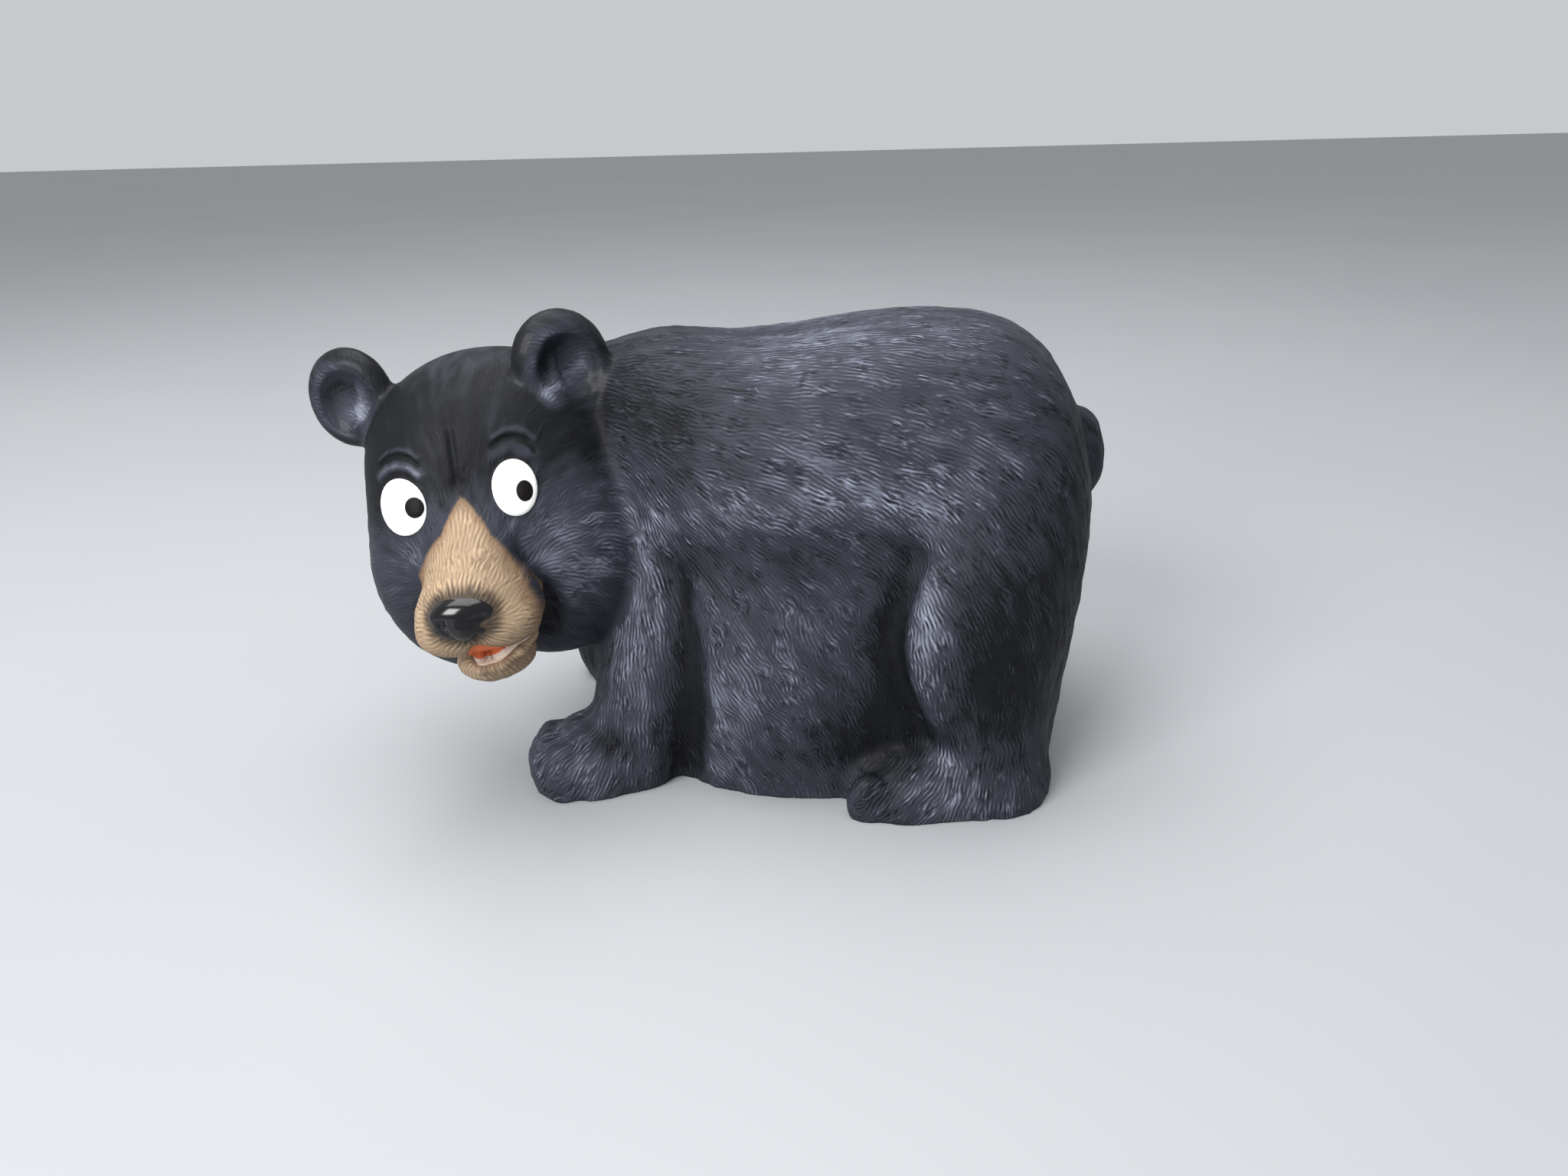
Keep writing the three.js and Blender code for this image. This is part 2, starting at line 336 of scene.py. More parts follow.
@dataclass(frozen=True)
class Hindleg:
    """The haunch, the knee and the shank, and the foot with its toes."""

    haunch: Egg = Egg((79, -34, 84), (38, 42, 62))
    knee: Egg = Egg((66, -50, 74), (20, 29, 30))
    shank: Bar = Bar((77, -50, 64), (86, -50, 6), 26, 25)
    sole: Bar = Bar((87, -57, 4), (52, -64, 4), 20, 19)
    toes: int = 4
    toe_radii: Triple = (9, 6, 13)

    def leg(self, q: Points) -> Points:
        """Distance to the haunch and shank."""
        return join(join(self.haunch.gap(q), self.knee.gap(q), 12), self.shank.gap(q), 18)

    def foot(self, q: Points) -> Points:
        """Distance to the foot."""
        d = self.sole.gap(q)
        for toe in range(self.toes):
            d = join(d, egg(q, (38 + 2 * toe, -76 + 9 * toe, 6), self.toe_radii), 2.5)
        return d

    def leg_lay(self, q: Points) -> Points:
        """The fur sweeps back over the thigh and down the shank."""
        high = ease(q[:, 2], 40, 120)[:, None]
        return np.array([0.12, 0.0, -1.0]) * (1 - high) + np.array([0.62, 0.0, -0.78]) * high

    def foot_lay(self, q: Points) -> Points:
        """The fur fans forwards over the toes."""
        return unit(q - np.array([92, -52, 40]))


BODY_GROOVES = (
    Groove(
        ((-40, -50, 96), (-35, -57, 76), (-31, -61, 61), (-30, -63, 45), (-33, -59, 23), (-37, -56, 6)),
        depth=3.5,
        spread=5.5,
    ),
    Groove(((-27, -60, 84), (-22, -65, 61), (-20, -67, 45), (-23, -63, 23), (-27, -59, 6)), -1.4, 6),
    Groove(
        ((55, -66, 104), (49, -67, 86), (46.5, -67, 72), (48, -67, 60), (54, -65, 45), (60, -64, 26)),
        depth=4,
        spread=5.5,
    ),
    Groove(((60, -70, 99), (57, -75, 85), (55, -76, 72), (58, -75, 57), (63, -71, 43)), -2.4, 6),
    Groove(((-25, -56, 103), (-6, -63, 109), (15, -65, 110), (36, -65, 111), (50, -65, 108)), 1.1, 7),
    Groove(((-40, -50, 110), (-6, -63, 119), (15, -64, 122), (36, -64, 124), (60, -64, 126)), -1.0, 9),
    Groove(((-76, -59, 28), (-66, -63, 22), (-58, -65, 15)), 1.5, 3.5),
)


@dataclass(frozen=True)
class Eye:
    """A white lens that stands a little proud of the face, its raised pupil, and the brow's folds over it.

    All its places are seen from in front: sideways and up, in the head's axes.
    """

    centre: Pair
    radii: Pair
    pupil: Pair
    pupil_radii: Pair
    folds: tuple[Groove, ...]
    edge: float = 0.5
    bulge: float = 1.5
    front: float = 12.0

    def beyond(self, h: Points) -> Points:
        """How far a point of the face lies outside the eye's outline, below zero inside it."""
        outside = oval_gap(h, self.centre, self.radii)
        return np.maximum(outside, self.front - h[:, 1])

    def pupil_gap(self, h: Points) -> Points:
        """Distance to the pupil's outline, below zero in the pupil."""
        return oval_gap(h, self.pupil, self.pupil_radii)

    def form(self, h: Points, skull: Points) -> Points:
        """Distance to the lens, which follows the skull that is passed in."""
        beyond = self.beyond(h)
        inside = np.clip(-beyond / min(self.radii), 0, 1)
        height = self.edge + self.bulge * np.sqrt(1 - (1 - inside) ** 2)
        raised = 0.3 * ease(-self.pupil_gap(h), 0, 2)
        return np.maximum(skull - height - raised, beyond)

    def in_front(self, h: Points) -> Points:
        """1 on the front of the head, and 0 behind the eyes."""
        return ease(h[:, 1], self.front, self.front + 8)

    def brow(self, h: Points) -> Points:
        """How deep the folds of the brow are, below zero on their ridges."""
        flat = h * [1, 0, 1]
        return sum(fold.at(flat) for fold in self.folds) * self.in_front(h)

    def lid(self, h: Points) -> Points:
        """How near a point is to the folds of the brow: 1 on them."""
        flat = h * [1, 0, 1]
        strength = sum(np.abs(fold.at(flat)) for fold in self.folds)
        return ease(strength, 0.1, 0.4) * self.in_front(h)


@dataclass(frozen=True)
class Ear:
    """A thick round disc with a rolled rim, cupped in front.

    Its side is 1 for the left ear and -1 for the right one.
    """

    side: int
    reach: Triple = (44.5, -6.0, 49.0)
    cup: Triple = (1, 10, -2)
    cup_radii: Triple = (13, 12, 14)
    turn: float = 20.0
    radii: Triple = (19, 9, 20)

    def axes(self) -> Points:
        """Across, forwards and up of the ear, in the head's axes."""
        a = math.radians(self.turn * self.side)
        return np.array([[math.cos(a), -math.sin(a), 0], [math.sin(a), math.cos(a), 0], [0, 0, 1]])

    def centre(self) -> Points:
        """The middle of the ear, in the head's axes."""
        return np.array([self.reach[0] * self.side, self.reach[1], self.reach[2]])

    def local(self, h: Points) -> Points:
        """Points in the ear's own axes."""
        return (h - self.centre()) @ self.axes().T

    def form(self, h: Points) -> Points:
        """Distance to the ear."""
        q = self.local(h)
        disc = egg(q, (0, 0, 0), self.radii)
        cupped = carve(disc, egg(q, self.cup, self.cup_radii), 4)
        fold = bar(q, (-8 * self.side, 3, -15), (-4 * self.side, 1, -5), 4.5, 3)
        return join(cupped, fold, 3)


@dataclass(frozen=True)
class Head:
    """The turned head: skull, cheeks, muzzle, nose, smile, eyes and ears, in its own axes.

    The axes are sideways to the bear's left, forwards, and up.
    """

    centre: Triple = (-119, -22, 113.5)
    turn: float = 9.1
    nod: float = -6.2
    tilt: float = 7.4
    reach: float = 112.0
    left_cheek: float = 1.12
    middle: float = 5.0
    crown: Egg = Egg((0, -6, 13), (51, 48, 47))
    cheek: Egg = Egg((15, 12, -21), (38, 37, 44))
    snout: Bar = Bar((0, 28, -8), (0, 63, -25), 24, 16)
    snout_end: Egg = Egg((0, 58, -29), (23.6, 21, 16))
    upper_lip: Egg = Egg((10, 66, -33), (12.5, 12, 9.2))
    jaw: Egg = Egg((0, 50, -50), (15, 17, 9))
    lower_lip: tuple[tuple[float, float, float, float], ...] = (
        (-9, 60, -48.5, 1.5),
        (-2, 66.5, -49, 1.9),
        (6, 66, -48.6, 1.9),
        (13.5, 64, -45.2, 1.9),
        (18.6, 63, -40.6, 2),
    )
    eyes: tuple[Eye, ...] = (
        Eye(
            centre=(20.6, 10.5),
            radii=(8.2, 10.2),
            pupil=(24.3, 8.9),
            pupil_radii=(3.0, 3.9),
            folds=(
                Groove.seen_from_front(((16.6, 23.6), (22.6, 24.7), (27.9, 21.6)), -0.5, 2.4),
                Groove.seen_from_front(
                    ((15.4, 26.2), (18.9, 28.2), (23.7, 28.2), (27.5, 25.7), (30.1, 21.6)),
                    depth=1.0,
                    spread=0.8,
                ),
                Groove.seen_from_front(
                    ((16.5, 29.6), (20.4, 31.1), (24.6, 31.0), (28.0, 29.2), (30.6, 26.0)),
                    depth=-0.6,
                    spread=1.0,
                ),
            ),
        ),
        Eye(
            centre=(-22.8, 9.8),
            radii=(9.8, 10.2),
            pupil=(-17.3, 9.5),
            pupil_radii=(3.8, 3.8),
            folds=(
                Groove.seen_from_front(
                    ((-31.1, 21.0), (-26.5, 23.8), (-21.5, 24.5), (-17.2, 23.2), (-13.9, 20.4)),
                    depth=-1.2,
                    spread=1.7,
                ),
                Groove.seen_from_front(
                    ((-31.2, 24.4), (-26.2, 27.1), (-21.2, 27.8), (-16.6, 26.6), (-14.0, 23.9)),
                    depth=1.1,
                    spread=0.7,
                ),
                Groove.seen_from_front(
                    ((-30.4, 26.8), (-25.8, 29.5), (-20.9, 30.3), (-16.4, 29.0), (-13.6, 26.6)),
                    depth=-0.8,
                    spread=0.8,
                ),
            ),
        ),
    )
    creases: tuple[Groove, ...] = (
        Groove.seen_from_front(((0.1, 42.4), (0.6, 32.2), (0.4, 23.8), (-0.2, 15.3)), 1.4, 1.2),
    )
    valley: Groove = Groove(((22, 47, -28), (23, 46, -34), (22, 43, -42), (20, 40, -48)), 4.0, 4.2)
    ears: tuple[Ear, ...] = (Ear(1, (43.5, 15.0, 50.5), (2, 10, -3)), Ear(-1))
    smile: tuple[Pair, ...] = (
        (-3.6, -40.9),
        (-2.0, -38.4),
        (0.9, -36.4),
        (4.6, -38.0),
        (8.4, -39.6),
        (13.0, -40.7),
        (20.6, -38.2),
        (17.4, -40.8),
        (12.6, -43.4),
        (9.0, -46.0),
        (5.1, -47.7),
        (-0.8, -48.1),
        (-4.6, -46.6),
        (-4.6, -43.6),
    )
    tongue: tuple[Pair, ...] = (
        (-7.0, -41.0),
        (-4.0, -36.0),
        (1.0, -34.0),
        (5.4, -36.0),
        (9.6, -38.4),
        (11.4, -40.6),
        (7.4, -43.8),
        (3.0, -45.6),
        (-1.0, -46.0),
        (-4.0, -45.8),
        (-7.0, -44.4),
    )
    smile_depth: float = 2.6
    tongue_rise: float = 1.4
    mouth_front: float = 52.0
    nose_bridge: Egg = Egg((-1.2, 75.6, -24.6), (11.6, 6.8, 6.6))
    nose_lobe: Egg = Egg((-1.0, 78.2, -29.0), (5.7, 4.9, 5.0))
    nose_wings: tuple[Bar, ...] = (
        Bar((9.3, 76.8, -24.6), (8.8, 77.4, -29.0), 2.2, 1.6),
        Bar((8.8, 77.4, -29.0), (5.6, 79.0, -31.2), 1.6, 1.2),
    )
    nostril: tuple[Bar, ...] = (
        Bar((4.6, 82.6, -25.4), (7.6, 81.0, -26.4), 0.9, 2.0),
        Bar((7.6, 81.0, -26.4), (6.2, 82.2, -29.4), 2.0, 1.3),
    )
    muzzle_outline: tuple[Pair, ...] = (
        (0.7, 10.9),
        (6.4, 3.8),
        (10.8, -3.2),
        (16.8, -13.0),
        (21.4, -22.5),
        (24.6, -34.0),
        (23.0, -48.0),
        (15.0, -62.0),
        (-6.0, -64.0),
        (-20.0, -54.0),
        (-27.0, -38.0),
        (-24.5, -24.0),
        (-16.8, -10.0),
        (-7.4, -0.5),
    )

    def axes(self) -> Points:
        """Sideways, forwards and up of the head, as rows."""
        y, n, t = (math.radians(a) for a in (self.turn, self.nod, self.tilt))
        ahead = np.array([math.sin(y), -math.cos(y), 0])
        level = np.array([math.cos(y), math.sin(y), 0])
        upright = np.array([0, 0, 1])
        side = level * math.cos(t) + upright * math.sin(t)
        raised = upright * math.cos(t) - level * math.sin(t)
        front = ahead * math.cos(n) - raised * math.sin(n)
        return np.stack([side, front, raised * math.cos(n) + ahead * math.sin(n)])

    def local(self, p: Points) -> Points:
        """Points in the head's axes."""
        return (p - np.array(self.centre)) @ self.axes().T

    def place(self, h: Triple) -> Points:
        """A point of the head in the bear's axes."""
        return np.array(self.centre) + np.array(h, float) @ self.axes()

    def skull(self, h: Points) -> Points:
        """Distance to the skull and cheeks."""
        out = h[:, 0] - self.middle
        q = np.column_stack([np.where(out > 0, out / self.left_cheek, -out), h[:, 1], h[:, 2]])
        return join(self.crown.gap(q), self.cheek.gap(q), 14) + self.valleys(h)

    def valleys(self, h: Points) -> Points:
        """How deep the valleys between the muzzle and the cheeks are."""
        return self.valley.at(np.abs(h) * [1, 1, 0] + h * [0, 0, 1])

    def forehead(self, h: Points) -> Points:
        """How deep the creases of the forehead are."""
        flat = h * [1, 0, 1]
        return sum(crease.at(flat) for crease in self.creases) * ease(h[:, 1], 15, 25)

    def brows(self, h: Points) -> Points:
        """How deep the folds over both eyes are, below zero on their ridges."""
        return sum(eye.brow(h) for eye in self.eyes)

    def face(self, h: Points) -> Points:
        """Distance to the skull with the folds of the brow and the crease of the forehead."""
        return self.skull(h) + self.forehead(h) + self.brows(h)

    def muzzle(self, h: Points) -> Points:
        """Distance to the muzzle with its lips and jaw, and the smile that is sunk into it."""
        q = np.column_stack([np.abs(h[:, 0] - 0.8), h[:, 1], h[:, 2]])
        d = join(self.snout.gap(q), self.snout_end.gap(q), 6)
        d = join(d, self.upper_lip.gap(q), 4)
        d = join(d, self.jaw.gap(q), 2)
        for a, b in zip(self.lower_lip, self.lower_lip[1:]):
            d = join(d, bar(h, a[:3], b[:3], a[3], b[3]), 2.5)
        sunk = self.smile_depth * ease(-self.mouth_gap(h), -0.2, 1.6)
        return d + sunk - self.tongue_rise * ease(-self.tongue_gap(h), -0.2, 2.2)

    def mouth_gap(self, h: Points) -> Points:
        """Distance to the edge of the open smile, seen from in front, below zero inside it."""
        return np.maximum(outline_gap(h[:, [0, 2]], self.smile), self.mouth_front - h[:, 1])

    def tongue_gap(self, h: Points) -> Points:
        """Distance to the edge of the tongue in the smile, seen from in front, below zero inside it."""
        return np.maximum(outline_gap(h[:, [0, 2]], self.tongue), self.mouth_gap(h))

    def beside_nose(self, h: Points) -> Points:
        """Points with both sides of the nose folded onto one."""
        return np.column_stack([np.abs(h[:, 0] + 1.1), h[:, 1], h[:, 2]])

    def nose_lump(self, h: Points) -> Points:
        """Distance to the nose before its nostrils are cut: bridge, lobe and wings."""
        q = self.beside_nose(h)
        d = join(self.nose_bridge.gap(h), self.nose_lobe.gap(h), 1.5)
        for wing in self.nose_wings:
            d = join(d, wing.gap(q), 1)
        return d

    def nose(self, h: Points) -> Points:
        """Distance to the nose with its curled nostrils."""
        q = self.beside_nose(h)
        slit, curl = (part.gap(q) for part in self.nostril)
        return carve(self.nose_lump(h), np.minimum(slit, curl), 0.5)

    def skin(self, h: Points) -> Points:
        """Distance to everything on the head but the eyes, the nose and what is in the mouth."""
        d = join(self.face(h), self.muzzle(h), 4)
        for ear in self.ears:
            d = join(d, ear.form(h), 4)
        return d

    def features(self, h: Points) -> dict[str, Points]:
        """Distances to the parts of the face that have a colour of their own."""
        skull = self.skull(h)
        eyes = np.minimum(*(eye.form(h, skull) for eye in self.eyes))
        return {"eye": eyes, "nose": self.nose(h)}

    def form(self, p: Points) -> Points:
        """Distance to the whole head."""
        h = self.local(p)
        d = self.skin(h)
        for other in self.features(h).values():
            d = join(d, other, 0.4)
        return d

    def tan_gap(self, h: Points) -> Points:
        """Distance to the outline of the tan muzzle, seen from in front, below zero inside."""
        middle = np.array([0.0, -32.0])
        outline = np.array(self.muzzle_outline) - middle
        angles = np.arctan2(outline[:, 0], -outline[:, 1])
        order = np.argsort(angles)
        angles, radii = angles[order], np.hypot(*outline[order].T)
        q = h[:, [0, 2]] - middle
        at = np.arctan2(q[:, 0], -q[:, 1])
        edge = np.interp(at, angles, radii, period=2 * math.pi)
        gap = (np.hypot(*q.T) - edge) * 0.8
        sunk = self.muzzle(h) - self.skull(h)
        own = sunk - 1.5 - 4 * ease(h[:, 2], -16, 4)
        return np.maximum(np.maximum(gap, own), 34 - h[:, 1])

    def lay(self, h: Points) -> Points:
        """The fur spreads back from the nose, in the bear's axes."""
        spread = h - np.array([0, 82, -30])
        down = np.array([0, 0, -0.35]) * ease(np.abs(h[:, 0]), 15, 45)[:, None]
        return (unit(spread) + down) @ self.axes()


@dataclass(frozen=True)
class Dab:
    """A place where the painter's brush went, for the dry brush and for painted shade: its middle, how far it
    spreads and how strong it is.
    """

    centre: Triple
    radii: Triple
    strength: float

    def at(self, q: Points) -> Points:
        """The strength of the dab at each point."""
        away = np.linalg.norm((q - np.array(self.centre)) / np.array(self.radii), axis=-1)
        return self.strength * np.exp(-(away**2))


BODY_DABS = (
    Dab((10, -63, 124), (66, 30, 22), 0.2),
    Dab((58, -66, 126), (28, 30, 20), 0.25),
    Dab((0, -70, 62), (22, 30, 24), 0.35),
    Dab((-16, -66, 30), (12, 30, 26), 0.3),
    Dab((-58, -58, 60), (18, 26, 34), 0.5),
    Dab((-46, -50, 100), (20, 26, 22), 0.4),
    Dab((-80, -60, 14), (28, 24, 16), 0.4),
    Dab((60, -78, 80), (8, 20, 22), 0.75),
    Dab((60, -78, 12), (34, 24, 14), 0.6),
    Dab((67, -72, 24), (5, 8, 4), 0.8),
    Dab((-10, -30, 172), (50, 26, 16), 0.3),
    Dab((30, -20, 178), (60, 26, 14), 0.35),
    Dab((20, -66, 140), (80, 30, 26), 0.15),
    Dab((-62, -40, 130), (16, 22, 26), 0.3),
)
# Painted shade: dabs that darken the crease behind the foreleg, the valley in front of the haunch, the belly
# under the ledge and before the haunch, the thigh, the rump, the top of the neck and the crease over the paw.
BODY_SHADES = (
    Dab((-33, -60, 55), (6, 24, 46), 0.8),
    Dab((-40, -58, 24), (8, 24, 26), 0.65),
    Dab((46, -70, 62), (8, 24, 42), 0.8),
    Dab((86, -74, 70), (20, 34, 44), 0.9),
    Dab((114, -40, 90), (16, 40, 70), 0.7),
    Dab((40, -72, 26), (20, 24, 22), 1.1),
    Dab((10, -66, 104), (44, 30, 8), 0.2),
    Dab((-52, -36, 156), (44, 44, 28), 0.8),
    Dab((-66, -64, 24), (12, 14, 5), 0.9),
    Dab((-30, -56, 92), (16, 20, 16), 0.3),
)


@dataclass
class Bear:
    """The whole casting."""

    name: str = "bear_casting"
    node: str = "bear_cover"
    wall: float = 6.0
    voxel: float = 1.88
    tuft_height: float = 0.42
    bare_head: float = 0.48
    bare_crown: float = 0.88
    bare_lips: float = 0.8
    bare_ears: float = 0.8
    trunk: Trunk = field(default_factory=Trunk)
    foreleg: Foreleg = field(default_factory=Foreleg)
    hindleg: Hindleg = field(default_factory=Hindleg)
    head: Head = field(default_factory=Head)
    tissue_mouth: Triple = (58, 60, 45)
    tissue_box: tuple[float, float, float, float] = (-23.6, 128, 110, 109)
    tail: Egg = Egg((120, 0, 125), (12, 13, 20))
    neck: Egg = Egg((-78, 4, 124), (28, 26, 48))

    def torso(self, p: Points) -> Points:
        """Distance to the body with its legs, without the head, paws, feet and tail."""
        q = to_left(p)
        d = join(join(self.trunk.form(q), self.foreleg.leg(q), 8), self.hindleg.leg(q), 8)
        return join(d, self.neck.gap(q), 14) + self.grooves(q)

    def grooves(self, q: Points) -> Points:
        """How deep the body's creases are on its left side, below zero on their ridges."""
        return sum(groove.at(q) for groove in BODY_GROOVES)

    def mouth_tube(self, p: Points) -> Points:
        """Distance to the oval way that the tissues come out by."""
        height, across, tall = self.tissue_mouth
        q = np.column_stack([p[:, 1] / across * 2, (p[:, 2] - height) / tall * 2])
        oval = (np.linalg.norm(q, axis=-1) - 1) * tall / 2
        return np.maximum(oval, 96 - p[:, 0])

    def body(self, p: Points) -> Points:
        """Distance to all but the head."""
        q = to_left(p)
        d = join(self.torso(p), self.foreleg.paw(q), 5)
        d = join(d, self.hindleg.foot(q), 6)
        d = join(d, self.tail.gap(p), 3)
        return carve(d, self.mouth_tube(p), 3)

    def form(self, p: Points) -> Points:
        """Distance to the whole bear."""
        d = self.body(p)
        near = np.linalg.norm(p - np.array(self.head.centre), axis=-1) < self.head.reach
        d[near] = join(d[near], self.head.form(p[near]), 5)
        return d

    def room(self, p: Points) -> Points:
        """Distance to the room inside."""
        q = to_left(p)
        wall = self.wall + np.maximum(self.grooves(q), 0)
        return join(self.trunk.form(q), self.hindleg.leg(q), 8) + wall

    def lay(self, p: Points, normal: Points) -> Points:
        """The way the fur lies along the skin.

        Args:
            p: Points on the skin.
            normal: The skin's outward direction there.

        Returns:
            A unit vector along the skin for each point.
        """
        q = to_left(p)
        h = self.head.local(p)
        sides = np.where(p[:, 1:2] > 0, [[1, -1, 1]], [[1, 1, 1]])
        masses = (
            (self.trunk.form(q), self.trunk.lay(q) * sides, 8.0),
            (self.foreleg.leg(q), self.foreleg.leg_lay(q) * sides, 6.0),
            (self.foreleg.paw(q), self.foreleg.paw_lay(q) * sides, 3.0),
            (self.hindleg.leg(q), self.hindleg.leg_lay(q) * sides, 6.0),
            (self.hindleg.foot(q), self.hindleg.foot_lay(q) * sides, 3.0),
            (self.tail.gap(p), np.array([[0.2, 0.0, -1.0]]), 2.0),
            (join(self.head.skull(h), self.head.muzzle(h), 4), self.head.lay(h), 3.0),
        )
        total = np.zeros_like(p)
        for distance, way, reach in masses:
            total += np.exp(-np.maximum(distance, 0) / reach)[:, None] * way
        along = total - np.sum(total * normal, axis=-1, keepdims=True) * normal
        return unit(along)

    def bare(self, p: Points) -> Points:
        """How smooth the skin is: 1 where there is no fur to carve."""
        h = self.head.local(p)
        smooth = np.zeros(len(p))
        for gap in self.head.features(h).values():
            smooth = np.maximum(smooth, 1 - ease(gap, 0.3, 2.0))
        for ear in self.head.ears:
            smooth = np.maximum(smooth, self.bare_ears * (1 - ease(ear.form(h), 0.5, 4)))
        on_head = 1 - ease(join(self.head.skull(h), self.head.muzzle(h), 4), 0, 6)
        lids = np.maximum(*(eye.lid(h) for eye in self.head.eyes))
        crown = on_head * ease(h[:, 2], 5, 30) * self.bare_crown
        lips = on_head * ease(h[:, 1], 55, 66) * self.bare_lips
        return np.maximum.reduce([smooth, crown, lips, lids, on_head * self.bare_head])

    def tufts(self, p: Points, lay: Points) -> Points:
        """Carved tufts: noise that is smeared along the way the fur lies, from about -1 to 1."""
        steps = np.linspace(-1, 1, 11)
        total = np.zeros(len(p))
        for step in steps:
            total += lattice_noise((p + lay * step * 5.0) / 3.3, 3) * (1 - 0.6 * abs(step))
        fine = total / 3.1
        broad = np.zeros(len(p))
        for step in steps[::2]:
            broad += lattice_noise((p + lay * step * 9.0) / 7.0, 8)
        return np.clip(fine * 1.5 + broad / 4.0, -1.2, 1.2)


class SkinMaker:
    """Turns a bear's form into one closed mesh."""

    core = np.array([14, 0, 62])
    start_out = 190.0
    under_floor = -6.0
    face_finer = ((-35, 24, -58), (35, 90, 35))
    mouth_finer = ((-22, 58, -54), (24, 90, -14))

    def __init__(self, bear: Bear) -> None:
        """Keep the bear that is made."""
        self.bear = bear

    def ball(self, bm: bmesh.types.BMesh, detail: int) -> list[bmesh.types.BMVert]:
        """Add a unit sphere to a bmesh and give its points."""
        return bmesh.ops.create_icosphere(bm, subdivisions=detail, radius=1)["verts"]

    def drawn_in(self, bm: bmesh.types.BMesh, form: Form, centre: Points, reach: float, spine: float = 0,
                 detail: int = 5) -> None:
        """Add a sphere whose points slide down their own rays until they meet a form.

        Args:
            bm: The bmesh to add it to.
            form: The distance to meet.
            centre: Where the rays start.
            reach: How far out each point starts.
            spine: Half the length along X that the rays' starts are spread over.
            detail: How often the sphere is subdivided.
        """
        verts = self.ball(bm, detail)
        way = np.array([v.co for v in verts])
        start = centre + way * [spine, 0, 0]
        t = np.full(len(way), float(reach))
        for _ in range(70):
            t = np.maximum(t - form(start + way * t[:, None]) * 0.8, 1.0)
        for vert, place in zip(verts, start + way * t[:, None]):
            vert.co = place

    def egg_shell(self, bm: bmesh.types.BMesh, centre: Points, radii: Triple, axes: Points) -> None:
        """Add an egg with its radii along three axes."""
        verts = self.ball(bm, 4)
        places = centre + (np.array([v.co for v in verts]) * np.array(radii)) @ axes
        for vert, place in zip(verts, places):
            vert.co = place

    def above_cut(self, form: Form, flip: Points) -> Form:
        """A form of the left side or of its mirror image, cut off a little under the floor."""
        return lambda p: np.maximum(form(p * flip), self.under_floor - p[:, 2])

    def rough(self) -> bmesh.types.BMesh:
        """The masses as overlapping closed shells."""
        bear, head = self.bear, self.bear.head
        bm = bmesh.new()
        self.drawn_in(bm, self.above_cut(bear.torso, np.ones(3)), self.core, self.start_out, 60, 6)
        self.drawn_in(bm, lambda p: head.skull(head.local(p)), head.place((4, 0, -4)), 110)
        self.drawn_in(bm, lambda p: head.muzzle(head.local(p)), head.place((0, 46, -30)), 70)
        for side in (1, -1):
            flip = np.array([1, side, 1])
            paw, foot = (self.above_cut(form, flip) for form in (bear.foreleg.paw, bear.hindleg.foot))
            self.drawn_in(bm, paw, np.array([-76, -48, 6]) * flip, 60)
            self.drawn_in(bm, foot, np.array([70, -60, 5]) * flip, 70, 20)
        for ear in head.ears:
            self.egg_shell(bm, head.place(ear.centre()), ear.radii, ear.axes() @ head.axes())
        self.egg_shell(bm, np.array(bear.tail.centre), bear.tail.radii, np.eye(3))
        for lump in (head.nose_bridge, head.nose_lobe):
            self.egg_shell(bm, head.place(lump.centre), lump.radii, head.axes())
        bmesh.ops.recalc_face_normals(bm, faces=bm.faces)
        return bm

    def settle(self, places: Points, form: Form, rounds: int, most: float = 1.2) -> Points:
        """Move points down a form's slope onto its surface, leaving out those that already lie on it."""
        places = places.copy()
        loose = np.arange(len(places))
        for _ in range(rounds):
            gap, steep = height_and_slope(form, places[loose])
            step = gap / np.maximum(np.sum(steep**2, axis=-1), 0.2)
            places[loose] -= steep * np.clip(step, -most, most)[:, None]
            loose = loose[np.abs(gap) > 0.08]
            if not len(loose):
                break
        return places

    def relax(self, places: Points, edges: Points, share: float) -> Points:
        """Move each point part of the way to the middle of its neighbours."""
        total = np.zeros_like(places)
        count = np.zeros(len(places))
        for a, b in ((edges[:, 0], edges[:, 1]), (edges[:, 1], edges[:, 0])):
            for axis in range(3):
                total[:, axis] += np.bincount(a, places[b, axis], len(places))
            count += np.bincount(a, minlength=len(places))
        return places + (total / count[:, None] - places) * share

    def make(self) -> bpy.types.Object:
        """Make the casting, without materials.

        Returns:
            The object, with its place in its mesh.
        """
        obj = self.mesh_object(self.rough(), "skin")
        self.apply(obj, "REMESH", mode="VOXEL", voxel_size=self.bear.voxel)
        LOG.info("skin: %d points", len(obj.data.vertices))
        places, edges = read_places(obj.data), read_edges(obj.data)
        for _ in range(2):
            places = self.settle(self.relax(places, edges, 0.5), self.bear.form, 9)
        write_places(obj.data, places)
        self.refine_face(obj)
        places, edges = read_places(obj.data), read_edges(obj.data)
        places = self.settle(self.relax(places, edges, 0.4), self.bear.form, 8)
        normal = outward(self.bear.form, places)
        tufts = self.bear.tufts(places, self.bear.lay(places, normal))
        lift = self.bear.tuft_height * tufts * (1 - self.bear.bare(places))
        write_places(obj.data, places + normal * lift[:, None])
        self.hollow(obj)
        return obj

